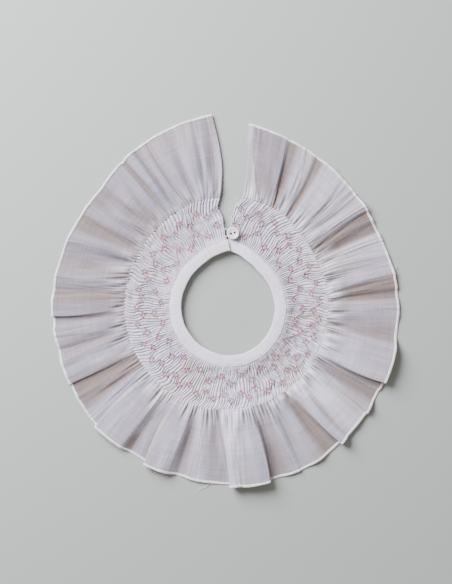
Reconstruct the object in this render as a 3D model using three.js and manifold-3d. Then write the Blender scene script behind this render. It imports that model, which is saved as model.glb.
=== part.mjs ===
// A detachable smocked collar of cotton voile with a free ruffle, lying flat and open at the back.
// Millimetres, +Z up. The cloth rests on z = 0 and the opening points along +Y.
// Places are given from the middle of the neck as an angle in degrees, clockwise seen from above with 0 at
// the opening, and a radius. "At the hem" is the ruffle's outer edge, "at the yoke" is where its folds begin.

import * as THREE from "three";
import { mergeVertices } from "three/addons/utils/BufferGeometryUtils.js";
import Module from "manifold-3d";

// ---------------------------------------------------------------- driving dimensions

const SEAM_GAP = 0.3;
const FULL_TURN = 360;

const BAND = {
  width: 10.8,
  thickness: 2.0,
  underside: 4.6,
  roundedEdge: 0.6,
  columns: 72,
  lapAngle: 7, // how far the right end runs on under the left end
  lapShift: 1.2, // the right end sinks and the left end rises by this much
  lapRun: 22, // the angle over which they do so
  lapLevel: 8, // the left end is level over this last angle
  leftEndInside: 361.5, // the left end is cut askew
  leftEndOutside: 359,
};

const YOKE = {
  pleats: 150,
  wall: 2.8,
  ridge: 1.4, // height of a pleat over the wall
  ridgeUneven: 0.15, // share by which the pleats differ in height
  unevenTurn: 2.4,
  liftAtBand: 3.0, // the underside leaves the table towards the band
  liftRun: 0.45, // over this share of the yoke's depth
  undersideColumns: 75, // a divisor of the pleats' columns, so that the rims share their places
};

const RUFFLE = {
  wall: 1.2,
  valleyTop: 1.05, // a valley is pressed flat on the table
  widestStep: 4.4, // the most degrees between two lines of points
  easedStep: 1.9, // a steep slope wider than this gets a line part way up
  steepRise: 2,
  shoulder: 0.9, // share of a crest's height at its two sides
  wideCrest: 1.8, // a crest wider than this has a middle line
  valleySpread: 0.35, // the most that a valley's two sides stand off its line at the yoke
  liftAtYoke: 1.7, // the underside leaves the table towards the yoke
  liftRun: 0.3, // over this share of the ruffle's depth
  waveAtYoke: 0.2, // share of a fold's height that is there where it leaves the yoke
  waveGrowth: 0.8, // folds rise quickly near the yoke and slowly towards the hem
  valleyDrawIn: 0.8, // the hem is this much shorter in a valley
  bend: 1.2, // folds curve as they run out
};

const HEM_ROLL = { width: 2.6, raised: 0.6 };

const OPENING_FOLD = { width: 5.6, step: 0.9, raised: 0.5, lift: 1.2 };

const BUTTON = {
  diameter: 11.4,
  thickness: 2.2,
  rimWidth: 1.5,
  bevel: 0.6,
  dish: 0.6, // depth of the face inside the rim
  holeDiameter: 2.0,
  holeSpacing: 3.7,
  holeTurn: 15, // the line through the holes, from +X
  angle: 3.4,
  radius: 69.9,
  segments: 32,
  holeSegments: 14,
};

const SHANK = { diameter: 2.4, height: 1.5, segments: 12 };

const LOOP = {
  thread: 0.9,
  ringRadius: 2.3, // round the shank
  leavesAt: 75.2, // radii at which its two ends are sewn to the left edge
  returnsAt: 66.6,
  sewnIn: 1.3, // degrees in from the edge
  steps: 22,
  sides: 8,
};

// ---------------------------------------------------------------- tables

// Inside edge of the neck band: round below, drawn to a point at the opening.
const NECK_EDGE = [
  { angle: 0, radius: 53.5 },
  { angle: 10, radius: 51.0 },
  { angle: 20, radius: 47.7 },
  { angle: 30, radius: 45.5 },
  { angle: 40, radius: 43.9 },
  { angle: 60, radius: 43.2 },
  { angle: 110, radius: 43.2 },
  { angle: 140, radius: 44.2 },
  { angle: 180, radius: 44.3 },
  { angle: 220, radius: 43.6 },
  { angle: 260, radius: 43.9 },
  { angle: 290, radius: 44.6 },
  { angle: 310, radius: 45.6 },
  { angle: 330, radius: 47.5 },
  { angle: 345, radius: 50.2 },
  { angle: 360, radius: 53.5 },
];

// Where the pleats let go of the smocking and the ruffle begins.
const RELEASE_EDGE = [
  { angle: 0, radius: 104.5 },
  { angle: 15, radius: 104.0 },
  { angle: 30, radius: 101.5 },
  { angle: 45, radius: 97.5 },
  { angle: 60, radius: 94.8 },
  { angle: 120, radius: 94.0 },
  { angle: 180, radius: 96.0 },
  { angle: 240, radius: 97.2 },
  { angle: 300, radius: 98.5 },
  { angle: 325, radius: 102.0 },
  { angle: 345, radius: 104.5 },
  { angle: 360, radius: 104.5 },
];

// General line of the hem, without the folds.
const HEM_EDGE = [
  { angle: 6, radius: 174.2 },
  { angle: 12, radius: 171.5 },
  { angle: 20, radius: 168.6 },
  { angle: 30, radius: 165.2 },
  { angle: 50, radius: 160.2 },
  { angle: 66, radius: 157.8 },
  { angle: 80, radius: 159.3 },
  { angle: 100, radius: 160.8 },
  { angle: 120, radius: 162.0 },
  { angle: 140, radius: 164.4 },
  { angle: 152, radius: 167.0 },
  { angle: 180, radius: 165.9 },
  { angle: 210, radius: 164.5 },
  { angle: 230, radius: 166.2 },
  { angle: 255, radius: 164.8 },
  { angle: 275, radius: 165.6 },
  { angle: 295, radius: 164.8 },
  { angle: 312, radius: 164.6 },
  { angle: 325, radius: 170.8 },
  { angle: 340, radius: 177.0 },
  { angle: 350, radius: 180.6 },
  { angle: 356, radius: 182.6 },
];

// The two free edges of the opening, as angles that change with the radius.
const RIGHT_EDGE = [
  { radius: 62, angle: -0.4 },
  { radius: 77, angle: 0.1 },
  { radius: 84, angle: 1.0 },
  { radius: 93, angle: 2.8 },
  { radius: 101, angle: 6.0 },
  { radius: 106, angle: 7.3 },
  { radius: 117, angle: 7.6 },
  { radius: 140, angle: 7.4 },
  { radius: 175, angle: 6.3 },
];

const LEFT_EDGE = [
  { radius: 62, angle: 359.0 },
  { radius: 76, angle: 357.0 },
  { radius: 88, angle: 355.0 },
  { radius: 101, angle: 355.3 },
  { radius: 112, angle: 356.7 },
  { radius: 131, angle: 357.4 },
  { radius: 150, angle: 356.8 },
  { radius: 168, angle: 355.8 },
  { radius: 183, angle: 355.0 },
];

// The yoke's rings, from the band out: how deep in the yoke, how much of a pleat's height stands there, and
// how far each pleat leans to the one it is stitched to, as a share of the pleat's width.
const YOKE_RINGS = [
  { depth: 0.0, stands: 0.35, leans: 0 },
  { depth: 0.16, stands: 0.75, leans: 0.2 },
  { depth: 0.37, stands: 0.8, leans: -0.2 },
  { depth: 0.62, stands: 0.85, leans: 0.2 },
  { depth: 0.8, stands: 0.8, leans: -0.2 },
  { depth: 1.0, stands: 0.9, leans: 0 },
];

const RUFFLE_RINGS = [0, 0.08, 0.2, 0.36, 0.55, 0.76];

// The ruffle's folds, clockwise from the right side of the opening. Each row is a valley and the crest after
// it: the valley's two sides at the hem, its line at the yoke and its height off the table, then the crest's
// two sides at the hem and at the yoke, its height, and how far its hem reaches past the general line.
const FOLDS = [
  // valley from, to, at yoke, floor | crest from, to, at yoke from, to | rise, reach
  [21.0, 21.7, 25.0, 0, 24.0, 25.0, 26.4, 27.4, 4, 0],
  [28.6, 29.6, 31.6, 0, 32.0, 41.5, 34.5, 39.8, 7, 0],
  [43.4, 44.4, 41.8, 0, 47.0, 48.5, 43.4, 44.8, 5, 0],
  [49.9, 50.6, 46.6, 2, 51.8, 54.2, 49.0, 54.0, 8, 0.8],
  [55.3, 60.0, 57.6, 0, 62.5, 67.0, 61.0, 65.2, 8, 0],
  [68.1, 69.0, 67.0, 0, 71.0, 72.2, 69.2, 70.2, 4, 0],
  [74.0, 75.0, 72.2, 0, 77.0, 78.6, 78.0, 82.0, 6, 0.5],
  [80.6, 84.0, 84.3, 0, 86.2, 92.5, 86.6, 92.0, 7, 0],
  [94.2, 99.6, 95.4, 0, 101.5, 115.1, 99.0, 115.0, 9, 1.5],
  [116.2, 120.0, 117.7, 0, 122.0, 126.0, 120.6, 123.8, 7, 0],
  [128.5, 129.8, 127.8, 0, 132.0, 135.6, 130.6, 133.6, 6, 0],
  [136.6, 137.3, 135.6, 3, 138.3, 139.4, 137.8, 141.6, 8, 1.6],
  [140.5, 143.0, 146.0, 0, 147.0, 149.0, 149.4, 151.2, 5, 0],
  [152.5, 154.0, 156.8, 0, 158.5, 161.0, 160.6, 163.0, 5, 0],
  [165.4, 166.6, 166.2, 0, 167.8, 173.4, 168.6, 172.8, 10, 2.0],
  [174.7, 175.3, 174.4, 7, 176.4, 178.8, 176.6, 183.4, 10, 2.2],
  [180.0, 184.0, 187.6, 0, 190.0, 192.0, 193.6, 195.8, 5, 0],
  [196.8, 198.2, 199.4, 0, 200.5, 207.8, 202.2, 208.0, 9, 2.6],
  [209.0, 216.6, 213.6, 0, 218.8, 227.7, 219.6, 228.2, 9, 1.8],
  [228.9, 230.0, 230.4, 0, 231.4, 232.4, 232.8, 234.2, 4, 0],
  [234.5, 235.6, 236.0, 0, 237.0, 238.6, 237.9, 239.5, 6, 0],
  [240.4, 243.0, 243.6, 0, 244.6, 253.4, 247.0, 255.8, 9, 0.8],
  [255.0, 256.4, 257.8, 0, 258.6, 264.1, 259.8, 265.0, 7, 0.8],
  [265.3, 266.7, 267.6, 0, 268.4, 274.2, 270.6, 275.2, 7, 1.0],
  [275.6, 276.6, 277.2, 2, 278.0, 280.0, 283.6, 287.8, 6, 0.8],
  [283.0, 289.8, 292.6, 0, 292.4, 294.0, 296.2, 298.2, 5, 0],
  [297.5, 302.2, 301.4, 0, 303.8, 305.0, 303.9, 305.4, 6, 0.8],
  [306.3, 307.0, 307.9, 2, 308.4, 310.0, 310.4, 313.6, 5, 0],
  [312.0, 313.6, 315.1, 0, 317.0, 319.0, 317.0, 319.0, 6, 0],
  [323.0, 324.4, 324.6, 0, 325.8, 327.0, 328.0, 330.4, 6, 0],
  [329.2, 330.2, 332.1, 1, 331.6, 332.6, 334.0, 335.8, 4, 0],
  [334.0, 335.0, 338.0, 0, 337.0, 338.6, 339.8, 341.6, 5, 0],
  [341.0, 342.0, 343.4, 0, 344.0, 347.6, 345.0, 347.2, 6, 0],
  [349.0, 349.8, 348.8, 0, 351.0, 352.0, 350.0, 351.0, 4, 0],
].map(([valleyFrom, valleyTo, valleyAtYoke, floor, ...crest]) => {
  const [crestFrom, crestTo, atYokeFrom, atYokeTo, rise, reach] = crest;
  return { valleyFrom, valleyTo, valleyAtYoke, floor, crestFrom, crestTo, atYokeFrom, atYokeTo, rise, reach };
});

// The crest at the right side of the opening, before the first valley.
const FIRST_CREST = { from: 9.8, to: 18.5, atYokeFrom: 12.4, atYokeTo: 22.4, rise: 7 };

// ---------------------------------------------------------------- materials

function cloth(color) {
  return new THREE.MeshStandardMaterial({ color, roughness: 0.9, metalness: 0, side: THREE.DoubleSide });
}

const MATERIALS = {
  band: cloth(0xdcdbe2),
  yoke: cloth(0xd2ced6),
  ruffle: cloth(0xcac5cb),
  thread: cloth(0xe4e0d8),
  shell: new THREE.MeshStandardMaterial({ color: 0xe3dccb, roughness: 0.28, metalness: 0 }),
};

// ---------------------------------------------------------------- helpers

const radians = THREE.MathUtils.degToRad;
const mix = THREE.MathUtils.lerp;

function place(angle, radius, height) {
  return new THREE.Vector3(radius * Math.sin(radians(angle)), radius * Math.cos(radians(angle)), height);
}

// A smooth curve through a table's rows: value `to` as a function of value `from`.
function smoothTable(rows, from, to) {
  const slopes = rows.map((row, i) => {
    const before = rows[Math.max(i - 1, 0)];
    const after = rows[Math.min(i + 1, rows.length - 1)];
    return (after[to] - before[to]) / (after[from] - before[from]);
  });
  return (value) => {
    const last = rows.length - 1;
    if (value <= rows[0][from]) {
      return rows[0][to];
    }
    if (value >= rows[last][from]) {
      return rows[last][to];
    }
    const i = rows.findIndex((row) => row[from] > value) - 1;
    const span = rows[i + 1][from] - rows[i][from];
    const s = (value - rows[i][from]) / span;
    const start = (1 + 2 * s) * (1 - s) ** 2 * rows[i][to] + s * (1 - s) ** 2 * span * slopes[i];
    const end = s ** 2 * (3 - 2 * s) * rows[i + 1][to] + s ** 2 * (s - 1) * span * slopes[i + 1];
    return start + end;
  };
}

const neckAt = smoothTable(NECK_EDGE, "angle", "radius");
const releaseAt = smoothTable(RELEASE_EDGE, "angle", "radius");
const hemAt = smoothTable(HEM_EDGE, "angle", "radius");
const rightEdgeAt = smoothTable(RIGHT_EDGE, "radius", "angle");
const leftEdgeAt = smoothTable(LEFT_EDGE, "radius", "angle");

// The yoke's radius beside the opening.
const RELEASE = releaseAt(0);

function neckRadius(angle) {
  return neckAt((angle + FULL_TURN) % FULL_TURN);
}

// Triangles between two lines of points that run the same way, whatever their counts. `first` and `second`
// hold vertex numbers; the faces look up when `first` lies inside `second` and both run clockwise.
function stitch(first, second, triangles) {
  let i = 0;
  let j = 0;
  while (i < first.length - 1 || j < second.length - 1) {
    const nextFirst = (i + 1) / (first.length - 1);
    const nextSecond = (j + 1) / (second.length - 1);
    if (j === second.length - 1 || (i < first.length - 1 && nextFirst <= nextSecond)) {
      triangles.push(first[i], first[i + 1], second[j]);
      i += 1;
    } else {
      triangles.push(first[i], second[j + 1], second[j]);
      j += 1;
    }
  }
}

// A closed wall between an upper and a lower sheet. Each sheet is a list of rings from the inside out, and
// each ring a list of points, clockwise.
function wallGeometry(upper, lower) {
  const positions = [];
  const number = (ring) =>
    ring.map((point) => {
      positions.push(point.x, point.y, point.z);
      return positions.length / 3 - 1;
    });
  const top = upper.map(number);
  const under = lower.map(number);
  const triangles = [];
  for (let i = 0; i + 1 < top.length; i += 1) {
    stitch(top[i], top[i + 1], triangles);
  }
  for (let i = 0; i + 1 < under.length; i += 1) {
    stitch(under[i + 1], under[i], triangles);
  }
  stitch(top.at(-1), under.at(-1), triangles);
  stitch(under[0], top[0], triangles);
  stitch(under.map((ring) => ring[0]).reverse(), top.map((ring) => ring[0]).reverse(), triangles);
  stitch(under.map((ring) => ring.at(-1)), top.map((ring) => ring.at(-1)), triangles);
  const geometry = new THREE.BufferGeometry();
  geometry.setAttribute("position", new THREE.Float32BufferAttribute(positions, 3));
  geometry.setIndex(triangles);
  geometry.computeVertexNormals();
  return geometry;
}

function named(name, geometry, material) {
  const mesh = new THREE.Mesh(geometry, material);
  mesh.name = name;
  return mesh;
}

// ---------------------------------------------------------------- neck band

// How far the band is moved up or down at an angle, so that its left end lies on its right end.
function lapShiftAt(angle) {
  const sunk = THREE.MathUtils.smoothstep(BAND.lapRun - angle, 0, BAND.lapRun);
  const end = BAND.leftEndOutside;
  const raised = THREE.MathUtils.smoothstep(angle, end - BAND.lapRun, end - BAND.lapLevel);
  return BAND.lapShift * (raised - sunk);
}

function bandRing(share) {
  const from = -BAND.lapAngle;
  const across = (at) => mix(from, mix(BAND.leftEndInside, BAND.leftEndOutside, at / BAND.width), share);
  const edge = BAND.roundedEdge;
  const section = [
    [edge, 0],
    [0, edge],
    [0, BAND.thickness - edge],
    [edge, BAND.thickness],
    [BAND.width - edge, BAND.thickness],
    [BAND.width, BAND.thickness - edge],
    [BAND.width, edge],
    [BAND.width - edge, 0],
  ];
  return section.map(([out, up]) => {
    const angle = across(out);
    return place(angle, neckRadius(angle) + out, BAND.underside + lapShiftAt(angle) + up);
  });
}

function neckBand() {
  const rings = [];
  for (let i = 0; i <= BAND.columns; i += 1) {
    rings.push(bandRing(i / BAND.columns));
  }
  const sides = rings[0].length;
  const positions = rings.flat().flatMap((point) => point.toArray());
  const triangles = [];
  for (let i = 0; i < BAND.columns; i += 1) {
    for (let side = 0; side < sides; side += 1) {
      const a = i * sides + side;
      const b = i * sides + ((side + 1) % sides);
      triangles.push(a, a + sides, b);
      triangles.push(b, a + sides, b + sides);
    }
  }
  const lastRing = BAND.columns * sides;
  for (let side = 1; side + 1 < sides; side += 1) {
    triangles.push(0, side, side + 1);
    triangles.push(lastRing, lastRing + side + 1, lastRing + side);
  }
  const geometry = new THREE.BufferGeometry();
  geometry.setAttribute("position", new THREE.Float32BufferAttribute(positions, 3));
  geometry.setIndex(triangles);
  return named("neck_band", geometry, MATERIALS.band);
}

// ---------------------------------------------------------------- smocked yoke

function yokeRadius(angle, depth) {
  const turned = (angle + FULL_TURN) % FULL_TURN;
  return mix(neckRadius(turned) + BAND.width + SEAM_GAP, releaseAt(turned), depth);
}

// A place on the yoke from its share of the way round and its depth.
function yokePlace(share, depth, height) {
  const roughly = yokeRadius(share * FULL_TURN, depth);
  const angle = mix(rightEdgeAt(roughly), leftEdgeAt(roughly), share);
  return place(angle, yokeRadius(angle, depth), height);
}

function yokeUnderside(depth) {
  const near = Math.max(1 - depth / YOKE.liftRun, 0);
  return YOKE.liftAtBand * near ** 2;
}

function smockedYoke() {
  const columns = 2 * YOKE.pleats;
  const upper = YOKE_RINGS.map(({ depth, stands, leans }) => {
    const ring = [];
    for (let i = 0; i <= columns; i += 1) {
      const pleat = Math.floor(i / 2);
      const isRidge = i % 2 === 1;
      const uneven = 1 - YOKE.ridgeUneven * (1 - Math.sin(pleat * YOKE.unevenTurn));
      const lean = isRidge ? leans * (pleat % 2 === 0 ? 1 : -1) : 0;
      const height = isRidge ? YOKE.ridge * stands * uneven : 0;
      ring.push(yokePlace((i + lean) / columns, depth, yokeUnderside(depth) + YOKE.wall + height));
    }
    return ring;
  });
  const lower = [0, YOKE.liftRun / 2, YOKE.liftRun, 1].map((depth) => {
    const ring = [];
    for (let i = 0; i <= YOKE.undersideColumns; i += 1) {
      ring.push(yokePlace(i / YOKE.undersideColumns, depth, yokeUnderside(depth)));
    }
    return ring;
  });
  return named("smocked_yoke", wallGeometry(upper, lower), MATERIALS.yoke);
}

// ---------------------------------------------------------------- ruffle

// The lines that run out along the ruffle, from the right edge of the opening to the left one.
function foldLines() {
  const first = FIRST_CREST;
  const lines = [
    { edge: "right", aside: 0, height: OPENING_FOLD.lift, reach: 0 },
    { edge: "right", aside: OPENING_FOLD.width, height: OPENING_FOLD.lift + OPENING_FOLD.raised, reach: 0 },
    { hem: first.from, yoke: first.atYokeFrom, height: first.rise * RUFFLE.shoulder, reach: 0 },
    {
      hem: mix(first.from, first.to, 0.5),
      yoke: mix(first.atYokeFrom, first.atYokeTo, 0.5),
      height: first.rise,
      reach: 0,
    },
    { hem: first.to, yoke: first.atYokeTo, height: first.rise * RUFFLE.shoulder, reach: 0 },
  ];
  for (const fold of FOLDS) {
    const spread = Math.min(RUFFLE.valleySpread, (fold.valleyTo - fold.valleyFrom) / 2);
    const shoulder = fold.rise * RUFFLE.shoulder;
    const valley = { height: fold.floor, reach: -RUFFLE.valleyDrawIn };
    lines.push({ ...valley, hem: fold.valleyFrom, yoke: fold.valleyAtYoke - spread });
    lines.push({ ...valley, hem: fold.valleyTo, yoke: fold.valleyAtYoke + spread });
    lines.push({ hem: fold.crestFrom, yoke: fold.atYokeFrom, height: shoulder, reach: fold.reach / 2 });
    if (fold.crestTo - fold.crestFrom > RUFFLE.wideCrest) {
      const hem = mix(fold.crestFrom, fold.crestTo, 0.5);
      const yoke = mix(fold.atYokeFrom, fold.atYokeTo, 0.5);
      lines.push({ hem, yoke, height: fold.rise, reach: fold.reach * 0.75 });
    }
    lines.push({ hem: fold.crestTo, yoke: fold.atYokeTo, height: shoulder, reach: fold.reach });
  }
  lines.push({ edge: "left", aside: OPENING_FOLD.width + OPENING_FOLD.step, height: 0, reach: 0 });
  lines.push({ edge: "left", aside: OPENING_FOLD.width, height: OPENING_FOLD.raised, reach: 0 });
  lines.push({ edge: "left", aside: 0, height: OPENING_FOLD.lift, reach: 0 });
  return lines;
}

function lineBetween(from, to, share, climbed) {
  return {
    hem: mix(from.hem, to.hem, share),
    yoke: mix(from.yoke, to.yoke, share),
    height: mix(from.height, to.height, climbed),
    reach: mix(from.reach, to.reach, climbed),
  };
}

// Lines between neighbours that stand far apart: one that eases a steep slope in and out, or as many as a
// wide fold needs to stay round.
function easedLines(lines) {
  const eased = [lines[0]];
  for (let i = 1; i < lines.length; i += 1) {
    const from = lines[i - 1];
    const to = lines[i];
    const isFree = from.edge === undefined && to.edge === undefined;
    const widest = isFree ? Math.max(to.hem - from.hem, to.yoke - from.yoke) : 0;
    const pieces = Math.ceil(widest / RUFFLE.widestStep);
    const isSteep = Math.abs(to.height - from.height) > RUFFLE.steepRise;
    if (pieces < 2 && widest > RUFFLE.easedStep && isSteep) {
      const isRising = to.height > from.height;
      eased.push(lineBetween(from, to, isRising ? 0.55 : 0.45, isRising ? 0.72 : 0.28));
    }
    for (let piece = 1; piece < pieces; piece += 1) {
      const share = piece / pieces;
      const climbed = THREE.MathUtils.smoothstep(share, 0, 1);
      eased.push(lineBetween(from, to, share, climbed));
    }
    eased.push(to);
  }
  return eased;
}

function ringRadius(angle, ring, reach) {
  const inner = releaseAt(angle) + SEAM_GAP;
  const outer = hemAt(angle) + reach;
  if (ring.fromHem !== undefined) {
    return outer - ring.fromHem;
  }
  return mix(inner, outer - HEM_ROLL.width, ring.depth);
}

function lineAngle(line, radius, depth) {
  if (line.edge === "right") {
    return rightEdgeAt(radius) + THREE.MathUtils.radToDeg(line.aside / radius);
  }
  if (line.edge === "left") {
    return leftEdgeAt(radius) - THREE.MathUtils.radToDeg(line.aside / radius);
  }
  return mix(line.yoke, line.hem, depth ** RUFFLE.bend);
}

function rufflePoint(line, ring) {
  const nearAngle = line.hem ?? (line.edge === "right" ? rightEdgeAt(RELEASE) : leftEdgeAt(RELEASE));
  const roughly = ringRadius(nearAngle, ring, line.reach);
  const angle = lineAngle(line, roughly, ring.depth);
  const radius = ringRadius(angle, ring, line.reach * ring.depth ** 2);
  const near = Math.max(1 - ring.depth / RUFFLE.liftRun, 0);
  const grown = mix(RUFFLE.waveAtYoke, 1, ring.depth ** RUFFLE.waveGrowth);
  const height = RUFFLE.valleyTop + RUFFLE.liftAtYoke * near ** 2 + line.height * grown + ring.raised;
  return place(angle, radius, height);
}

// The wall's underside: each point of the upper sheet moved in along the sheet's own normal, and never
// below the table. The inner rim stays square, so that its seam keeps one width.
function movedIn(sheet, distance) {
  return sheet.map((ring, i) =>
    ring.map((point, j) => {
      const along = new THREE.Vector3().subVectors(
        ring[Math.min(j + 1, ring.length - 1)],
        ring[Math.max(j - 1, 0)],
      );
      const outward = new THREE.Vector3().subVectors(
        sheet[Math.min(i + 1, sheet.length - 1)][j],
        sheet[Math.max(i - 1, 0)][j],
      );
      const normal = along.cross(outward).normalize();
      const moved = point.clone().addScaledVector(normal, -distance);
      const squared = i === 0 ? Math.hypot(point.x, point.y) / Math.hypot(moved.x, moved.y) : 1;
      return new THREE.Vector3(moved.x * squared, moved.y * squared, Math.max(moved.z, 0));
    }),
  );
}

function ruffle() {
  const lines = easedLines(foldLines());
  const rings = RUFFLE_RINGS.map((depth) => ({ depth, raised: 0 }));
  rings.push({ depth: 1, fromHem: HEM_ROLL.width, raised: 0 });
  rings.push({ depth: 1, fromHem: HEM_ROLL.width / 2, raised: HEM_ROLL.raised });
  rings.push({ depth: 1, fromHem: 0, raised: 0 });
  const upper = rings.map((ring) => lines.map((line) => rufflePoint(line, ring)));
  const flat = rings.map((ring) => lines.map((line) => rufflePoint(line, { ...ring, raised: 0 })));
  return named("ruffle", wallGeometry(upper, movedIn(flat, RUFFLE.wall)), MATERIALS.ruffle);
}

// ---------------------------------------------------------------- button, shank and loop

const BUTTON_SEAT = place(BUTTON.angle, BUTTON.radius, 0);
const BUTTON_DEPTH = (BUTTON.radius - neckRadius(BUTTON.angle) - BAND.width) / (RELEASE - yokeRadius(0, 0));
BUTTON_SEAT.z = yokeUnderside(BUTTON_DEPTH) + YOKE.wall + YOKE.ridge;

function asManifold(wasm, geometry) {
  geometry.deleteAttribute("normal");
  geometry.deleteAttribute("uv");
  const merged = mergeVertices(geometry, 1e-4);
  return new wasm.Manifold(
    new wasm.Mesh({
      numProp: 3,
      vertProperties: new Float32Array(merged.attributes.position.array),
      triVerts: new Uint32Array(merged.index.array),
    }),
  );
}

function asGeometry(solid) {
  const mesh = solid.getMesh();
  const geometry = new THREE.BufferGeometry();
  geometry.setAttribute("position", new THREE.BufferAttribute(mesh.vertProperties, 3));
  geometry.setIndex(new THREE.BufferAttribute(mesh.triVerts, 1));
  return geometry;
}

function button(wasm) {
  const radius = BUTTON.diameter / 2;
  const inside = radius - BUTTON.rimWidth;
  const profile = [
    [0, 0],
    [radius - BUTTON.bevel, 0],
    [radius, BUTTON.bevel],
    [radius, BUTTON.thickness - BUTTON.bevel],
    [radius - BUTTON.bevel, BUTTON.thickness],
    [inside, BUTTON.thickness],
    [inside - BUTTON.dish, BUTTON.thickness - BUTTON.dish],
    [0, BUTTON.thickness - BUTTON.dish],
  ].map(([out, up]) => new THREE.Vector2(out, up));
  const disc = new THREE.LatheGeometry(profile, BUTTON.segments);
  disc.rotateX(Math.PI / 2);
  let solid = asManifold(wasm, disc);
  for (const side of [-1, 1]) {
    const holeRadius = BUTTON.holeDiameter / 2;
    const length = BUTTON.thickness * 3;
    const hole = new THREE.CylinderGeometry(holeRadius, holeRadius, length, BUTTON.holeSegments);
    hole.rotateX(Math.PI / 2);
    hole.translate((side * BUTTON.holeSpacing) / 2, 0, BUTTON.thickness / 2);
    hole.rotateZ(radians(BUTTON.holeTurn));
    solid = solid.subtract(asManifold(wasm, hole));
  }
  const mesh = named("button", asGeometry(solid), MATERIALS.shell);
  mesh.position.copy(BUTTON_SEAT);
  mesh.position.z += SEAM_GAP + SHANK.height + SEAM_GAP;
  return mesh;
}

function buttonShank() {
  const radius = SHANK.diameter / 2;
  const geometry = new THREE.CylinderGeometry(radius, radius, SHANK.height, SHANK.segments);
  geometry.rotateX(Math.PI / 2);
  const mesh = named("button_shank", geometry, MATERIALS.thread);
  mesh.position.copy(BUTTON_SEAT);
  mesh.position.z += SEAM_GAP + SHANK.height / 2;
  return mesh;
}

// The loop leaves the left edge of the opening, goes round the shank under the button and comes back.
function buttonLoop() {
  const seat = BUTTON_SEAT;
  const ringHeight = seat.z + SEAM_GAP + SHANK.height / 2;
  const ring = (turn) =>
    new THREE.Vector3(
      seat.x + LOOP.ringRadius * Math.cos(radians(turn)),
      seat.y + LOOP.ringRadius * Math.sin(radians(turn)),
      ringHeight,
    );
  const leftEdge = (radius) => {
    const foot = place(leftEdgeAt(radius) - LOOP.sewnIn, radius, 0);
    foot.z = ringHeight;
    return foot;
  };
  const path = new THREE.CatmullRomCurve3([
    leftEdge(LOOP.leavesAt),
    leftEdge(LOOP.leavesAt - 1).lerp(ring(120), 0.5),
    ...[120, 50, 0, -50, -120].map(ring),
    leftEdge(LOOP.returnsAt + 1).lerp(ring(-120), 0.5),
    leftEdge(LOOP.returnsAt),
  ]);
  const section = new THREE.Shape();
  section.absarc(0, 0, LOOP.thread / 2, 0, 2 * Math.PI);
  const geometry = new THREE.ExtrudeGeometry(section, {
    steps: LOOP.steps,
    curveSegments: LOOP.sides / 2,
    extrudePath: path,
    bevelEnabled: false,
  });
  return named("button_loop", geometry, MATERIALS.thread);
}

// ---------------------------------------------------------------- the collar

const wasm = await Module();
wasm.setup();

const collar = new THREE.Group();
collar.add(neckBand(), smockedYoke(), ruffle(), button(wasm), buttonShank(), buttonLoop());

// The origin goes to the middle of the collar's box, on the table.
const bounds = new THREE.Box3().setFromObject(collar, true);
const middle = bounds.getCenter(new THREE.Vector3());
collar.position.set(-middle.x, -middle.y, -bounds.min.z);

export default collar;
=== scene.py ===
"""A detachable smocked ruffle collar of white cotton voile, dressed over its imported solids.

Places on the collar are an angle in degrees, clockwise seen from above with 0 at the opening, and a radius
in millimetres from the middle of the neck. CollarPlan.spot turns them into metres.
"""

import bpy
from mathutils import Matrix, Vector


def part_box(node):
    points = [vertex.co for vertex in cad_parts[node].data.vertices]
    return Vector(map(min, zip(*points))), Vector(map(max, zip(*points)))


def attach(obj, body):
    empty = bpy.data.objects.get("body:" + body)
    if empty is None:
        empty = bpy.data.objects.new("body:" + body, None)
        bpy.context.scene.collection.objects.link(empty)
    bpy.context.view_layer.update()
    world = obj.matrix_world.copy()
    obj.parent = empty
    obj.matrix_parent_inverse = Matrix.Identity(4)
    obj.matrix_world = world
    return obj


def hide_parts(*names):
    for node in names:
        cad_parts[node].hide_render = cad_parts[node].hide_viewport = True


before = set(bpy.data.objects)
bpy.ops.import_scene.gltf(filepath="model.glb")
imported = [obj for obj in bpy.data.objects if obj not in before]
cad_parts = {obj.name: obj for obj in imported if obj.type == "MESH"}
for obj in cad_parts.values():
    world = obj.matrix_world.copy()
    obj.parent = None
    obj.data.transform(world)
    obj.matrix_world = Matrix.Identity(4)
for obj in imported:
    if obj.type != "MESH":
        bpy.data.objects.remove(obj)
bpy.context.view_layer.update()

import logging
import math
from dataclasses import dataclass, field
from enum import Enum, IntEnum
from typing import Callable, Optional, Sequence

import bpy
import numpy as np

MM = 0.001
LOG = logging.getLogger("collar")
Table = Sequence[tuple[float, float]]
Array = np.ndarray
Thing = bpy.types.Object
Material = bpy.types.Material
Socket = bpy.types.NodeSocket

# The flat strip of voile in metres: its length, and its depth in the yoke and in the ruffle.
STRIP = 1.15
YOKE_DEPTH = 0.045
RUFFLE_DEPTH = 0.072

# How far the undersides of the cloth and of the hem stay over the floor, in metres.
CLOTH_CLEAR = 0.00008
HEM_CLEAR = 0.00005


# ---------------------------------------------------------------- numbers


class Seed(IntEnum):
    """Which noise is drawn."""

    ZIGZAG = 3
    LEAN = 4
    OUTER_FLOWERS = 5
    INNER_FLOWERS = 6
    SWIRL = 7
    TALL = 8
    CUT = 9
    PLEATS = 11
    STITCHES = 21
    CRUMPLE = 31
    FINE_CRUMPLE = 32
    HEM_WIDE = 41
    HEM_TALL = 42
    PUCKERS = 51
    BAND_SOFT = 52
    BAND_FINE = 53
    BAND_WAVY = 54
    BAND_EDGE = 55
    BUNDLES = 61
    BUNDLE_STRENGTH = 62
    BUNDLE_ENDS = 63


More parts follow.
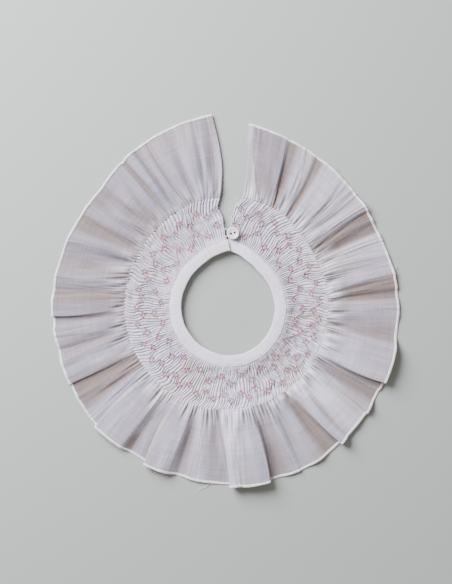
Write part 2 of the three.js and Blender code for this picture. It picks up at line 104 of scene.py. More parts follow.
def smooth_table(rows: Table) -> Callable[[Array], Array]:
    """Make a smooth curve through a table.

    Args:
        rows: pairs of a place and its value, in rising order.

    Returns:
        A function from places to values, held at the table's ends.
    """
    at, value = np.array(rows, float).T
    before = np.maximum(np.arange(len(at)) - 1, 0)
    after = np.minimum(np.arange(len(at)) + 1, len(at) - 1)
    slope = (value[after] - value[before]) / (at[after] - at[before])

    def curve(x: Array) -> Array:
        """Value of the table at each x.

        Args:
            x: places.

        Returns:
            The values.
        """
        x = np.clip(x, at[0], at[-1])
        i = np.clip(np.searchsorted(at, x, side="right") - 1, 0, len(at) - 2)
        span = at[i + 1] - at[i]
        s = (x - at[i]) / span
        start = (1 + 2 * s) * (1 - s) ** 2 * value[i] + s * (1 - s) ** 2 * span * slope[i]
        return start + s**2 * (3 - 2 * s) * value[i + 1] + s**2 * (s - 1) * span * slope[i + 1]

    return curve


def tabled(rows: Table) -> Callable[[Array], Array]:
    """A dataclass field that holds a table's smooth curve."""
    return field(default=smooth_table(rows), repr=False)


def ease(x: Array, start: float = 0.0, end: float = 1.0) -> Array:
    """Rise smoothly from 0 to 1.

    Args:
        x: places.
        start: where the rise begins.
        end: where it ends.

    Returns:
        A share from 0 to 1 for each place.
    """
    s = np.clip((np.asarray(x, float) - start) / (end - start), 0, 1)
    return s * s * (3 - 2 * s)


def mix(a: Array, b: Array, share: Array) -> Array:
    """Blend a into b by a share from 0 to 1."""
    return a + (b - a) * share


def bell(x: Array, width: float) -> Array:
    """Fall from 1 at 0 to nothing on both sides, with a width of the same unit."""
    return np.exp(-((x / width) ** 2))


def leaving_yoke(depth: Array) -> Array:
    """Fall from 1 at a depth of 0 to 0 at 0.45."""
    return np.maximum(1 - np.maximum(depth, 0) / 0.45, 0) ** 2


def round_steps(steps: int) -> tuple[Array, Array]:
    """Cosines and sines of equal steps round a turn."""
    turn = np.linspace(0, 2 * math.pi, steps, endpoint=False)
    return np.cos(turn), np.sin(turn)


def paired(a: Array, b: Array) -> Array:
    """Spread two arrays to one shape and pair their values in a new last axis."""
    return np.stack(np.broadcast_arrays(a, b), -1)


def unit(vectors: Array) -> Array:
    """Vectors of length 1, with x, y and z in the last axis."""
    return vectors / np.maximum(np.linalg.norm(vectors, axis=-1, keepdims=True), 1e-12)


def run_along(path: Array) -> Array:
    """Length of a path up to each of its points."""
    return np.concatenate([[0], np.cumsum(np.linalg.norm(np.diff(path, axis=0), axis=1))])


def wander(u: Array, v: Array, seed: int) -> Array:
    """Smooth noise over a plane, with one value a unit.

    Args:
        u: first coordinate.
        v: second coordinate, of the same shape or one that spreads to it.
        seed: which noise it is, a Seed.

    Returns:
        Values from -1 to 1.
    """
    cells = 512
    values = np.random.default_rng(seed).uniform(-1, 1, (cells, cells))
    u, v = np.broadcast_arrays(np.asarray(u, float), np.asarray(v, float))
    i, j = np.floor(u).astype(int), np.floor(v).astype(int)
    su, sv = ease(u - i), ease(v - j)
    low = mix(values[i % cells, j % cells], values[(i + 1) % cells, j % cells], su)
    high = mix(values[i % cells, (j + 1) % cells], values[(i + 1) % cells, (j + 1) % cells], su)
    return mix(low, high, sv)


def soften(rows: Array, passes: int) -> Array:
    """Round off values along the last axis, with the two ends held.

    Args:
        rows: values, one row a line.
        passes: how often each value moves to the mean of itself and its neighbours.

    Returns:
        The softened values.
    """
    for _ in range(passes):
        middle = 0.25 * rows[..., :-2] + 0.5 * rows[..., 1:-1] + 0.25 * rows[..., 2:]
        rows = np.concatenate([rows[..., :1], middle, rows[..., -1:]], axis=-1)
    return rows


# ---------------------------------------------------------------- meshes


@dataclass
class ClothGrid:
    """A piece of cloth as a grid of points, with the lines outwards in its rows.

    Attributes:
        points: rows x columns x 3, in metres, columns clockwise and rows outwards.
        thread: rows x columns x 2, the place in the flat cloth in metres.
        shade: painted shade, from 0 to 1, deeper in folds, creases and the slits between pleats.
        doubled: whiteness from 0 to 1: 1 where the cloth is double, and painted light and shade besides.
    """

    points: Array
    thread: Array
    shade: Array
    doubled: Array

    def normals(self) -> Array:
        """Unit normals of the upper side."""
        along = np.gradient(self.points, axis=1)
        outward = np.gradient(self.points, axis=0)
        return unit(np.cross(along, outward))

    def area(self) -> float:
        """Area of one side in square metres."""
        p = self.points
        first = np.cross(p[1:, 1:] - p[:-1, :-1], p[1:, :-1] - p[:-1, 1:])
        return float(np.linalg.norm(first, axis=2).sum() / 2)


def linked(name: str, data: bpy.types.ID) -> Thing:
    """Make an object that holds the given data and put it in the scene."""
    thing = bpy.data.objects.new(name, data)
    bpy.context.scene.collection.objects.link(thing)
    return thing


def apply(thing: Thing, modifier: bpy.types.Modifier) -> bpy.types.Mesh:
    """Put a modifier's result in place of the object's mesh.

    Args:
        thing: the object.
        modifier: its only modifier, which is removed.

    Returns:
        The new mesh.
    """
    mesh = bpy.data.meshes.new_from_object(thing.evaluated_get(bpy.context.evaluated_depsgraph_get()))
    thing.modifiers.remove(modifier)
    thing.data = mesh
    return mesh


def move(thing: Thing, change: Callable[[Array], Array]) -> None:
    """Move an object's vertices.

    Args:
        thing: the object.
        change: gives the new places from the old ones, n x 3 in metres.
    """
    places = np.empty(len(thing.data.vertices) * 3)
    thing.data.vertices.foreach_get("co", places)
    thing.data.vertices.foreach_set("co", change(places.reshape(-1, 3)).reshape(-1))
    thing.data.update()


def mesh_object(
    name: str,
    points: Array,
    faces: Array,
    thread: Optional[Array] = None,
    tones: Optional[dict[str, Array]] = None,
    caps: Sequence[Sequence[int]] = (),
) -> Thing:
    """Make an object from four-sided faces and, where given, end caps.

    Args:
        name: the object's name.
        points: n x 3, in metres.
        faces: m x 4 vertex numbers.
        thread: n x 2 places for the UV map "cloth".
        tones: point attributes by name, n values each.
        caps: faces with any number of corners.

    Returns:
        The object, linked to the scene, with smooth shading.
    """
    mesh = bpy.data.meshes.new(name)
    corners = np.concatenate([faces.reshape(-1), *[np.array(cap, int) for cap in caps]]).astype(np.int32)
    counts = np.concatenate([np.full(len(faces), 4), [len(cap) for cap in caps]]).astype(np.int32)
    mesh.vertices.add(len(points))
    mesh.vertices.foreach_set("co", points.astype(np.float32).reshape(-1))
    mesh.loops.add(len(corners))
    mesh.loops.foreach_set("vertex_index", corners)
    mesh.polygons.add(len(counts))
    mesh.polygons.foreach_set("loop_start", np.concatenate([[0], np.cumsum(counts)[:-1]]).astype(np.int32))
    mesh.update(calc_edges=True)
    mesh.validate()
    if thread is not None:
        layer = mesh.uv_layers.new(name="cloth")
        layer.data.foreach_set("uv", thread[corners].astype(np.float32).reshape(-1))
    for key, values in (tones or {}).items():
        mesh.attributes.new(key, "FLOAT", "POINT").data.foreach_set("value", values.astype(np.float32))
    mesh.shade_smooth()
    return linked(name, mesh)


def cloth_shell(name: str, grid: ClothGrid, thickness: float) -> Thing:
    """Give a cloth grid its thickness and close it along all four sides.

    Args:
        name: the object's name.
        grid: the upper side.
        thickness: in metres, added on the underside.

    Returns:
        The closed shell.
    """
    rows, columns = grid.points.shape[:2]
    under = grid.points - grid.normals() * thickness
    under[..., 2] = np.maximum(under[..., 2], CLOTH_CLEAR)
    number = np.arange(rows * columns).reshape(rows, columns)
    a, b, c, d = number[:-1, :-1], number[:-1, 1:], number[1:, 1:], number[1:, :-1]
    low = rows * columns
    faces = [
        np.stack([a, b, c, d], -1).reshape(-1, 4),
        np.stack([a, d, c, b], -1).reshape(-1, 4) + low,
    ]
    for line in (number[0, ::-1], number[-1], number[:, 0], number[::-1, -1]):
        faces.append(np.stack([line[:-1], line[1:], line[1:] + low, line[:-1] + low], -1))
    points = np.concatenate([grid.points.reshape(-1, 3), under.reshape(-1, 3)])
    tones = {key: np.tile(getattr(grid, key).reshape(-1), 2) for key in ("shade", "doubled")}
    return mesh_object(name, points, np.concatenate(faces), np.tile(grid.thread.reshape(-1, 2), (2, 1)), tones)


def capped_tube(
    name: str,
    rings: Array,
    thread_pitch: float = 1.0,
    thread: Optional[Array] = None,
    tones: Optional[dict[str, Array]] = None,
) -> Thing:
    """Join rings of points into a tube with closed ends and faces that look outwards.

    Args:
        name: the object's name.
        rings: number of rings x points in a ring x 3, in metres.
        thread_pitch: how much of the UV map's second axis one turn round the tube takes, in metres.
        thread: places for the UV map, as for mesh_object, instead of those along and round the tube.
        tones: point attributes, as for mesh_object.

    Returns:
        The tube.
    """
    count, sides = rings.shape[:2]
    number = np.arange(count * sides).reshape(count, sides)
    turned = np.roll(number, -1, axis=1)
    faces = np.stack([number[:-1], number[1:], turned[1:], turned[:-1]], -1).reshape(-1, 4)
    caps = [list(number[0]), list(number[-1, ::-1])]
    p = rings.reshape(-1, 3)
    q = p[faces] - p.mean(axis=0)
    volume = np.einsum("ij,ij->i", q[:, 0], np.cross(q[:, 1], q[:, 2])).sum()
    volume += np.einsum("ij,ij->i", q[:, 0], np.cross(q[:, 2], q[:, 3])).sum()
    if volume < 0:
        faces, caps = faces[:, ::-1], [cap[::-1] for cap in caps]
    if thread is None:
        around = np.abs(np.linspace(-1, 1, sides, endpoint=False)) * thread_pitch
        run = run_along(rings.mean(axis=1))
        thread = paired(run[:, None], around).reshape(-1, 2)
    return mesh_object(name, p, faces, thread, tones, caps)


def round_tube(name: str, path: Array, radius: float, sides: int) -> Thing:
    """Sweep a round thread along a path.

    Args:
        name: the object's name.
        path: n x 3 points in metres.
        radius: in metres.
        sides: corners of its section.

    Returns:
        The thread, with closed ends.
    """
    tangent = unit(np.gradient(path, axis=0))
    side = np.cross(tangent[0], (0.0, 0.0, 1.0))
    if np.linalg.norm(side) < 0.1:
        side = np.cross(tangent[0], (1.0, 0.0, 0.0))
    sides_at = []
    for t in tangent:
        side = side - t * side.dot(t)
        side /= np.linalg.norm(side)
        sides_at.append(side)
    first = np.array(sides_at)
    second = np.cross(tangent, first)
    cosine, sine = round_steps(sides)
    ring = cosine[None, :, None] * first[:, None] + sine[None, :, None] * second[:, None]
    return capped_tube(name, path[:, None] + radius * ring, 2 * math.pi * radius)


def joined(name: str, parts: Sequence[Thing]) -> Thing:
    """Join objects of one piece into a single mesh.

    Args:
        name: the joined object's name.
        parts: the objects, all at the origin.

    Returns:
        The joined object.
    """
    bpy.ops.object.select_all(action="DESELECT")
    for part in parts:
        part.select_set(True)
    bpy.context.view_layer.objects.active = parts[0]
    bpy.ops.object.join()
    parts[0].name = parts[0].data.name = name
    return parts[0]


def polylines(name: str, lines: Sequence[Array]) -> Thing:
    """Make an object of open lines, for the thread trees to follow.

    Args:
        name: the object's name.
        lines: each n x 3, in metres.

    Returns:
        The object, with edges and no faces.
    """
    mesh = bpy.data.meshes.new(name)
    points, edges = [], []
    for line in lines:
        start = len(points)
        points.extend(map(tuple, line))
        edges.extend((start + i, start + i + 1) for i in range(len(line) - 1))
    mesh.from_pydata(points, edges, [])
    return linked(name, mesh)


def dress(thing: Thing, material: Optional[Material] = None, replaces: Sequence[str] = ()) -> Thing:
    """Hand a finished piece to the frame.

    Args:
        thing: the piece.
        material: its material, where its mesh has none yet.
        replaces: the CAD nodes that it stands for.

    Returns:
        The same piece.
    """
    if material is not None:
        thing.data.materials.clear()
        thing.data.materials.append(material)
    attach(thing, "root")
    if replaces:
        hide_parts(*replaces)
    triangles = sum(len(face.vertices) - 2 for face in thing.data.polygons)
    LOG.info("%s: %d triangles", thing.name, triangles)
    return thing


# ---------------------------------------------------------------- finishes


class Nodes:
    """Adds nodes to a tree, one call a node."""

    def __init__(self, tree: bpy.types.NodeTree, prefix: str) -> None:
        """Start on an empty tree.

        Args:
            tree: the tree.
            prefix: what the types of most of its nodes begin with.
        """
        self.tree, self.prefix = tree, prefix
        tree.nodes.clear()

    def node(self, kind: str, inputs: Optional[dict] = None, **settings: object) -> bpy.types.Node:
        """Add a node.

        Args:
            kind: its type, with or without the prefix.
            inputs: values or output sockets by input name or number.
            settings: its other properties.

        Returns:
            The node.
        """
        made = self.tree.nodes.new(kind if "Node" in kind else self.prefix + kind)
        for key, value in settings.items():
            setattr(made, key, value)
        for key, value in (inputs or {}).items():
            if isinstance(value, Socket):
                self.tree.links.new(value, made.inputs[key])
            else:
                made.inputs[key].default_value = value
        return made

    def first(self, kind: str, inputs: Optional[dict] = None, **settings: object) -> Socket:
        """Add a node, as node does, and give its first output."""
        return self.node(kind, inputs, **settings).outputs[0]


class Weave(Nodes):
    """Adds nodes to a material."""

    def __init__(self, name: str) -> None:
        """Start an empty material.

        Args:
            name: the material's name.
        """
        self.material = bpy.data.materials.new(name)
        self.material.use_nodes = True
        super().__init__(self.material.node_tree, "ShaderNode")

    def maths(self, operation: str, *values: object) -> Socket:
        """Add a Math node and give its output."""
        return self.first("Math", dict(enumerate(values)), operation=operation)

    def blend(self, share: object, a: object, b: object, how: str = "MIX") -> Socket:
        """Blend two colours.

        Args:
            share: how much of the second, a number or a socket.
            a: first colour, or its socket.
            b: second colour, or its socket.
            how: blend type.

        Returns:
            The blended colour's socket.
        """
        return self.node("Mix", {0: share, 6: a, 7: b}, data_type="RGBA", blend_type=how).outputs[2]

    def noise(self, vector: Socket, scale: float, detail: float = 2.0) -> Socket:
        """Add a noise texture and give its value."""
        return self.first("TexNoise", {"Vector": vector, "Scale": scale, "Detail": detail})

    def spots(self, vector: Socket, across: float, along: float, detail: float = 2.0) -> Socket:
        """Add noise with its own number of spots in a metre on each of the first two axes."""
        return self.noise(self.first("Mapping", {"Vector": vector, "Scale": (across, along, 1.0)}), 1.0, detail)

    def bump(self, height: Socket, distance: float, strength: float) -> Socket:
        """Add a bump and give its normal."""
        return self.first("Bump", {"Height": height, "Distance": distance, "Strength": strength})

    def body(self, colour: Socket, bump: Socket, **values: float) -> Socket:
        """Add a principled surface, with further values by input name and _ for each space."""
        inputs = {"Base Color": colour, "Normal": bump}
        inputs.update((key.replace("_", " "), value) for key, value in values.items())
        return self.first("BsdfPrincipled", inputs)

    def finish(self, surface: Socket) -> Material:
        """Send a surface to the material's output and give the material."""
        self.node("OutputMaterial", {"Surface": surface})
        return self.material


def rgba(red: float, green: float, blue: float) -> tuple:
    """Linear colour of a shade given in display values from 0 to 255."""
    return tuple(((c / 255 + 0.055) / 1.055) ** 2.4 for c in (red, green, blue)) + (1.0,)


@dataclass(frozen=True)
class VoileFinish:
    """Fine plain-woven cotton that lets some light through.

    Attributes:
        name: the material's name.
        single: colour of one layer.
        doubled: colour where the cloth is double, which painted light also goes towards.
        fold: colour of the painted shade in folds, creases and slits.
        painted_shade_share: how far the painted shade takes that colour.
        aged: what the colour is multiplied with where the cloth has yellowed.
        aged_share: how far it has yellowed there.
        see_through: share of the light that passes.
        slub: how strongly thicker yarns show.
        yarns: thicker yarns in a metre.
        weave: yarns in a metre, as drawn.
        relief: height of the weave in metres.
    """

    name: str
    single: tuple = rgba(172, 169, 182)
    doubled: tuple = rgba(249, 246, 255)
    fold: tuple = rgba(152, 134, 124)
    painted_shade_share: float = 0.85
    aged: tuple = rgba(250, 240, 224)
    aged_share: float = 0.8
    see_through: float = 0.26
    slub: float = 0.34
    yarns: float = 1500.0
    weave: float = 2900.0
    relief: float = 0.00016

    def material(self) -> Material:
        """Build the material from its own UV map and attributes.

        Returns:
            The material.
        """
        w = Weave(self.name)
        cloth = w.first("UVMap", uv_map="cloth")
        shade = w.node("Attribute", attribute_name="shade").outputs["Fac"]
        doubled = w.node("Attribute", attribute_name="doubled").outputs["Fac"]
        along = w.spots(cloth, 42.0, self.yarns)
        across = w.spots(cloth, self.yarns, 42.0)
        broad = w.spots(cloth, 60.0, 60.0, 4.0)
        yarns = w.maths("ADD", along, across)
        warps = w.spots(cloth, 24.0, self.yarns / 3, 1.0)
        wefts = w.spots(cloth, self.yarns / 3, 24.0, 1.0)
        thick = w.maths("ADD", w.maths("ADD", yarns, warps), wefts)
        slubs = w.maths("MULTIPLY", w.maths("SUBTRACT", thick, 2.0), self.slub)
        cloudy = w.maths("MULTIPLY", w.maths("SUBTRACT", broad, 0.5), 0.12)
        patches = w.spots(cloth, 26.0, 11.0)
        aged = w.first("MapRange", {0: patches, 1: 0.42, 2: 0.68, 3: 0.0, 4: self.aged_share})
        tone = w.maths("ADD", w.maths("ADD", slubs, cloudy), 1.0)
        # Whiter where the cloth is double and with painted light, yellowed at random, darker with painted shade.
        colour = w.blend(doubled, self.single, self.doubled)
        colour = w.blend(aged, colour, self.aged, "MULTIPLY")
        colour = w.blend(w.maths("MULTIPLY", shade, self.painted_shade_share), colour, self.fold)
        colour = w.blend(1.0, colour, w.first("CombineColor", {0: tone, 1: tone, 2: tone}), "MULTIPLY")
        split = w.node("SeparateXYZ", {0: cloth}).outputs
        turns = 2 * math.pi * self.weave / 2
        warp = w.maths("SINE", w.maths("MULTIPLY", split[0], turns))
        weft = w.maths("SINE", w.maths("MULTIPLY", split[1], turns))
        plain = w.maths("MULTIPLY", warp, weft)
        height = w.maths("ADD", w.maths("MULTIPLY", plain, 0.25), yarns)
        bump = w.bump(height, self.relief, 0.8)
        body = w.body(colour, bump, Roughness=0.86, Sheen_Weight=0.3, Sheen_Roughness=0.5, Specular_IOR_Level=0.25)
        through = w.first("BsdfTranslucent", {"Color": colour, "Normal": bump})
        return w.finish(w.first("MixShader", {0: self.see_through, 1: body, 2: through}))


@dataclass(frozen=True)
class ThreadFinish:
    """Twisted cotton or silk thread.

    Attributes:
        name: the material's name.
        colour: its colour.
        faded: its colour where it has faded.
        roughness: of its surface.
        sheen: soft sheen of its fibres.
    """

    name: str
    colour: tuple
    faded: tuple
    roughness: float = 0.6
    sheen: float = 0.3

    def material(self) -> Material:
        """Build the material on object coordinates.

        Returns:
            The material.
        """
        w = Weave(self.name)
        place = w.node("TexCoord").outputs["Object"]
        # Random fading between the thread's two colours.
        wear_and_shadow = w.noise(place, 240.0, 3.0)
        colour = w.blend(wear_and_shadow, self.colour, self.faded)
        bump = w.bump(w.noise(place, 4200.0), 0.0001, 0.6)
        return w.finish(w.body(colour, bump, Roughness=self.roughness, Sheen_Weight=self.sheen))


@dataclass(frozen=True)
class ShellFinish:
    """Polished mother-of-pearl with soft growth bands.

    Attributes:
        name: the material's name.
        pale: main colour.
        cream: colour of the warmer bands.
        cool: colour of the cooler patches.
    """

    name: str = "shell_button"
    pale: tuple = rgba(250, 249, 246)
    cream: tuple = rgba(234, 226, 210)
    cool: tuple = rgba(226, 233, 234)

    def material(self) -> Material:
        """Build the material on object coordinates.

        Returns:
            The material.
        """
        w = Weave(self.name)
        place = w.node("TexCoord").outputs["Object"]
        bands = w.node(
            "TexWave",
            {"Vector": place, "Scale": 210.0, "Distortion": 9.0, "Detail": 3.0, "Detail Scale": 1.4},
            bands_direction="DIAGONAL",
        ).outputs[1]
        patches = w.noise(place, 420.0, 3.0)
        colour = w.blend(w.maths("MULTIPLY", bands, 0.55), self.pale, self.cream)
        colour = w.blend(w.maths("MULTIPLY", patches, 0.4), colour, self.cool)
        bump = w.bump(patches, 0.00004, 0.5)
        return w.finish(w.body(colour, bump, Roughness=0.22, Coat_Weight=0.4, Coat_Roughness=0.12))


CLOTHS = (
    VoileFinish("voile"),
    VoileFinish("band_cloth", relief=0.00014, slub=0.2, see_through=0.12),
    VoileFinish("hem_cloth", single=rgba(246, 244, 240), doubled=rgba(246, 244, 240), see_through=0.1),
)
THREADS = {
    "pink": ThreadFinish("pink_thread", rgba(206, 128, 152), rgba(222, 166, 182)),
    "mauve": ThreadFinish("mauve_thread", rgba(174, 100, 126), rgba(198, 136, 158)),
    "knots": ThreadFinish("dark_mauve_thread", rgba(118, 56, 80), rgba(154, 90, 114)),
    "joins": ThreadFinish("pale_mauve_thread", rgba(184, 122, 144), rgba(206, 156, 174)),
    "white": ThreadFinish("white_thread", rgba(246, 245, 243), rgba(232, 230, 228)),
    "cream": ThreadFinish("cream_thread", rgba(236, 230, 216), rgba(222, 214, 200)),
    # A near-black thread that stands in the button's holes as painted shadow.
    "wear_and_shadow": ThreadFinish("hole_shadow_thread", rgba(56, 48, 42), rgba(76, 66, 58)),
}

# Radii of the smocking threads, by the colour of their lines.
SMOCKING_RADII = {"pink": 0.00027, "mauve": 0.00027, "knots": 0.00036, "joins": 0.00026}


# ---------------------------------------------------------------- thread trees


class ThreadShape(Enum):
    """What a thread tree makes of the lines that it is given."""

    CONTINUOUS = "continuous"
    STITCHES = "stitches"


@dataclass(frozen=True)
class ThreadTree:
    """Geometry nodes that turn lines into sewing thread.

    Attributes:
        shape: one thread along each line, or separate stitches on it.
        radius: of the thread, in metres.
        pitch: from one stitch to the next, in metres.
        length: of a stitch, in metres.
    """

    shape: ThreadShape
    radius: float
    pitch: float = 0.0024
    length: float = 0.0018

    def sizes(self) -> dict[str, float]:
        """Its sizes by the names of the group's inputs."""
        return {"Thread radius": self.radius, "Stitch pitch": self.pitch, "Stitch length": self.length}

    def group(self) -> bpy.types.NodeTree:
        """Build the node group.

        Returns:
            The group, with named inputs for its sizes and its material.
        """
        tree = bpy.data.node_groups.new("thread_" + self.shape.value, "GeometryNodeTree")
        sockets = [("Geometry", "Geometry"), *((label, "Float") for label in self.sizes()), ("Thread", "Material")]
        for label, kind in sockets:
            tree.interface.new_socket(label, in_out="INPUT", socket_type="NodeSocket" + kind)
        tree.interface.new_socket("Geometry", in_out="OUTPUT", socket_type="NodeSocketGeometry")
        g = Nodes(tree, "GeometryNode")
        given = g.node("NodeGroupInput").outputs
        radius = given["Thread radius"]
        lines = g.first("MeshToCurve", {0: given["Geometry"]})
        if self.shape is ThreadShape.CONTINUOUS:
            section = g.first("CurvePrimitiveCircle", {"Resolution": 6, "Radius": radius})
            made = g.first("CurveToMesh", {"Curve": lines, "Profile Curve": section, "Fill Caps": True})
        else:
            spaced = g.first("ResampleCurve", {"Curve": lines, "Length": given["Stitch pitch"]}, mode="LENGTH")
            bead = g.first("MeshUVSphere", {"Segments": 6, "Rings": 5, "Radius": 1.0})
            half = g.first("ShaderNodeMath", {0: given["Stitch length"], 1: 0.5}, operation="MULTIPLY")
            sizes = g.first("ShaderNodeCombineXYZ", {0: half, 1: radius, 2: radius})
            stitch = g.first("Transform", {"Geometry": bead, "Scale": sizes})
            turned = g.first("FunctionNodeAlignRotationToVector", {"Vector": g.first("InputTangent")}, axis="X")
            made = g.first("InstanceOnPoints", {"Points": spaced, "Instance": stitch, "Rotation": turned})
        real = g.first("RealizeInstances", {0: made})
        finish = g.first("SetMaterial", {"Geometry": real, "Material": given["Thread"]})
        g.node("NodeGroupOutput", {0: finish})
        return tree

    def sew(self, name: str, lines: Sequence[Array], material: Material) -> Thing:
        """Make the thread along lines as a plain mesh.

        Args:
            name: the piece's name.
            lines: each n x 3, in metres.
            material: the thread's.

        Returns:
            The finished thread.
        """
        guide = polylines(name, lines)
        tree = self.group()
        modifier = guide.modifiers.new("thread", "NODES")
        modifier.node_group = tree
        values = {**self.sizes(), "Thread": material}
        for item in tree.interface.items_tree:
            if item.in_out == "INPUT" and item.name in values:
                modifier[item.identifier] = values[item.name]
        mesh = apply(guide, modifier)
        mesh.name = name
        mesh.shade_smooth()
        return guide


# ---------------------------------------------------------------- the plan


# The collar's edges: radius by angle for the round ones, angle by radius for the two at the opening.
NECK_EDGE: Table = (
    (0, 53.5), (10, 51.0), (20, 47.7), (30, 45.5), (40, 43.9), (60, 43.2), (110, 43.2), (140, 44.2),
    (180, 44.3), (220, 43.6), (260, 43.9), (290, 44.6), (310, 45.6), (330, 47.5), (345, 50.2), (360, 53.5),
)
RELEASE_EDGE: Table = (
    (0, 104.5), (15, 104.0), (30, 101.5), (45, 97.5), (60, 94.8), (120, 94.0), (180, 96.0), (240, 97.2),
    (300, 98.5), (325, 102.0), (345, 104.5), (360, 104.5),
)
HEM_EDGE: Table = (
    (6, 174.2), (12, 171.5), (20, 168.6), (30, 165.2), (50, 160.2), (66, 157.8), (80, 159.3), (100, 160.8),
    (120, 162.0), (140, 164.4), (152, 167.0), (180, 165.9), (210, 164.5), (230, 166.2), (255, 164.8),
    (275, 165.6), (295, 164.8), (312, 164.6), (325, 170.8), (340, 177.0), (350, 180.6), (356, 182.6),
)
RIGHT_EDGE: Table = (
    (62, -0.4), (77, 0.1), (84, 1.0), (93, 2.8), (101, 6.0), (106, 7.3), (117, 7.6), (140, 7.4), (175, 6.3),
)
LEFT_EDGE: Table = (
    (62, 359.0), (76, 357.0), (88, 355.0), (101, 355.3), (112, 356.7), (131, 357.4), (150, 356.8),
    (168, 355.8), (183, 355.0),
)


def solid_middle(node: str) -> Array:
    """Middle of a CAD node's box, in metres."""
    low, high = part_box(node)
    return (np.array(low, float) + np.array(high, float)) / 2


@dataclass
class CollarPlan:
    """Where the collar's edges run, seen from above.

    Attributes:
        band_width: of the neck band.
        band_gap: from the band's outer edge to the yoke's first line of points.
        button_angle: where the button is, which gives the middle of the neck.
        button_radius: the same.
        lap: how much higher one end of the band lies where they lap.
        rise: how far the yoke's underside stands over the table at the band.
        neck_curve: radius of the band's inside edge, by angle.
        release_curve: radius of the last smocking row, by angle.
        hem: radius of the hem, by angle.
        right_edge: angle of the opening's right edge, by radius.
        left_edge: angle of its left edge, by radius.
        middle: the middle of the neck, in metres.
    """

    band_width: float = 10.8
    band_gap: float = 0.3
    button_angle: float = 3.4
    button_radius: float = 69.9
    lap: float = 1.2
    rise: float = 3.0
    neck_curve: Callable = tabled(NECK_EDGE)
    release_curve: Callable = tabled(RELEASE_EDGE)
    hem: Callable = tabled(HEM_EDGE)
    right_edge: Callable = tabled(RIGHT_EDGE)
    left_edge: Callable = tabled(LEFT_EDGE)
    middle: tuple = field(init=False)

    def __post_init__(self) -> None:
        """Find the middle of the neck from the button's solid."""
        x, y, _ = solid_middle("button")
        turn, reach = math.radians(self.button_angle), self.button_radius * MM
        self.middle = (x - reach * math.sin(turn), y - reach * math.cos(turn))

    def spot(self, angle: Array, radius: Array, height: Array) -> Array:
        """Places in metres.

        Args:
            angle: degrees clockwise from the opening.
            radius: millimetres from the middle of the neck.
            height: millimetres over the table.

        Returns:
            An array with x, y and z in its last axis.
        """
        angle, radius, height = np.broadcast_arrays(angle, radius, height)
        turn = np.radians(angle)
        x = self.middle[0] + radius * MM * np.sin(turn)
        y = self.middle[1] + radius * MM * np.cos(turn)
        return np.stack([x, y, height * MM], axis=-1)

    def neck(self, angle: Array) -> Array:
        """Radius of the band's inside edge."""
        return self.neck_curve(np.mod(angle, 360.0))

    def release(self, angle: Array) -> Array:
        """Radius at which the smocking lets the pleats go."""
        return self.release_curve(np.mod(angle, 360.0))

    def yoke_start(self, angle: Array) -> Array:
        """Radius at which the yoke comes out from under the band."""
        return self.neck(angle) + self.band_width + self.band_gap

    def yoke_radius(self, angle: Array, depth: Array) -> Array:
        """Radius at a depth in the yoke, 0 at the band and 1 at the ruffle."""
        return mix(self.yoke_start(angle), self.release(angle), depth)

    def yoke_angle(self, share: Array, depth: Array) -> Array:
        """Angle of a share of the way round the yoke, from the right edge of the opening to the left."""
        roughly = self.yoke_radius(np.asarray(share) * 360.0, depth)
        return mix(self.right_edge(roughly), self.left_edge(roughly), share)

    def lap_shift(self, angle: Array) -> Array:
        """How far the band is raised, so that its left end lies on its right end."""
        return self.lap * (ease(angle, 337.0, 351.0) - ease(22.0 - np.asarray(angle), 0.0, 22.0))

    def yoke_lift(self, depth: Array) -> Array:
        """Height of the yoke's underside."""
        return self.rise * leaving_yoke(depth)


# ---------------------------------------------------------------- pleats and smocking


@dataclass
class Pleats:
    """The fine pleats that run from the band into the ruffle.

    Attributes:
        count: number of pleats.
        uneven: share by which they differ in width.
        edges: share of the way round at each slit.
        heights: height of each pleat, as a share.
        run_out: depth in the ruffle at which each pleat dies out.
        creases: how sharp the crease is at each slit.
        crease_runs: depth in the ruffle at which it ends.
    """

    count: int = 212
    uneven: float = 0.42
    edges: Array = field(init=False, repr=False)
    heights: Array = field(init=False, repr=False)
    run_out: Array = field(init=False, repr=False)
    creases: Array = field(init=False, repr=False)
    crease_runs: Array = field(init=False, repr=False)

    def __post_init__(self) -> None:
        """Draw each pleat's width, height and how far it runs on into the ruffle."""
        chance = np.random.default_rng(Seed.PLEATS)
        widths = chance.uniform(1 - self.uneven, 1 + self.uneven, self.count)
        self.edges = np.concatenate([[0], np.cumsum(widths)]) / widths.sum()
        self.heights = chance.uniform(0.66, 1.0, self.count)
        self.run_out = chance.uniform(0.12, 0.34, self.count) + (chance.random(self.count) > 0.75) * 0.25
        self.creases = chance.uniform(0.5, 1.0, self.count + 1) * (chance.random(self.count + 1) > 0.66)
        self.crease_runs = chance.uniform(0.14, 0.5, self.count + 1)

    def columns(self, steps: Sequence[float]) -> Array:
        """Pleat numbers of mesh columns, with the given steps inside each pleat."""
        inside = np.arange(self.count)[:, None] + np.array(steps)[None, :]
        return np.append(inside.reshape(-1), self.count)

    def share(self, number: Array) -> Array:
        """Share of the way round at a pleat number."""
        return np.interp(number, np.arange(self.count + 1), self.edges)

    def number(self, share: Array) -> Array:
        """Pleat number at a share of the way round."""
        return np.interp(share, self.edges, np.arange(self.count + 1))

    def of(self, values: Array, number: Array) -> Array:
        """Each pleat's own value at pleat numbers."""
        return values[np.clip(np.floor(number).astype(int), 0, self.count - 1)]

    @staticmethod
    def profile(number: Array) -> Array:
        """Height across the pleats from 0 in a slit to 1 on a ridge."""
        return np.abs(np.sin(np.pi * number)) ** 0.5


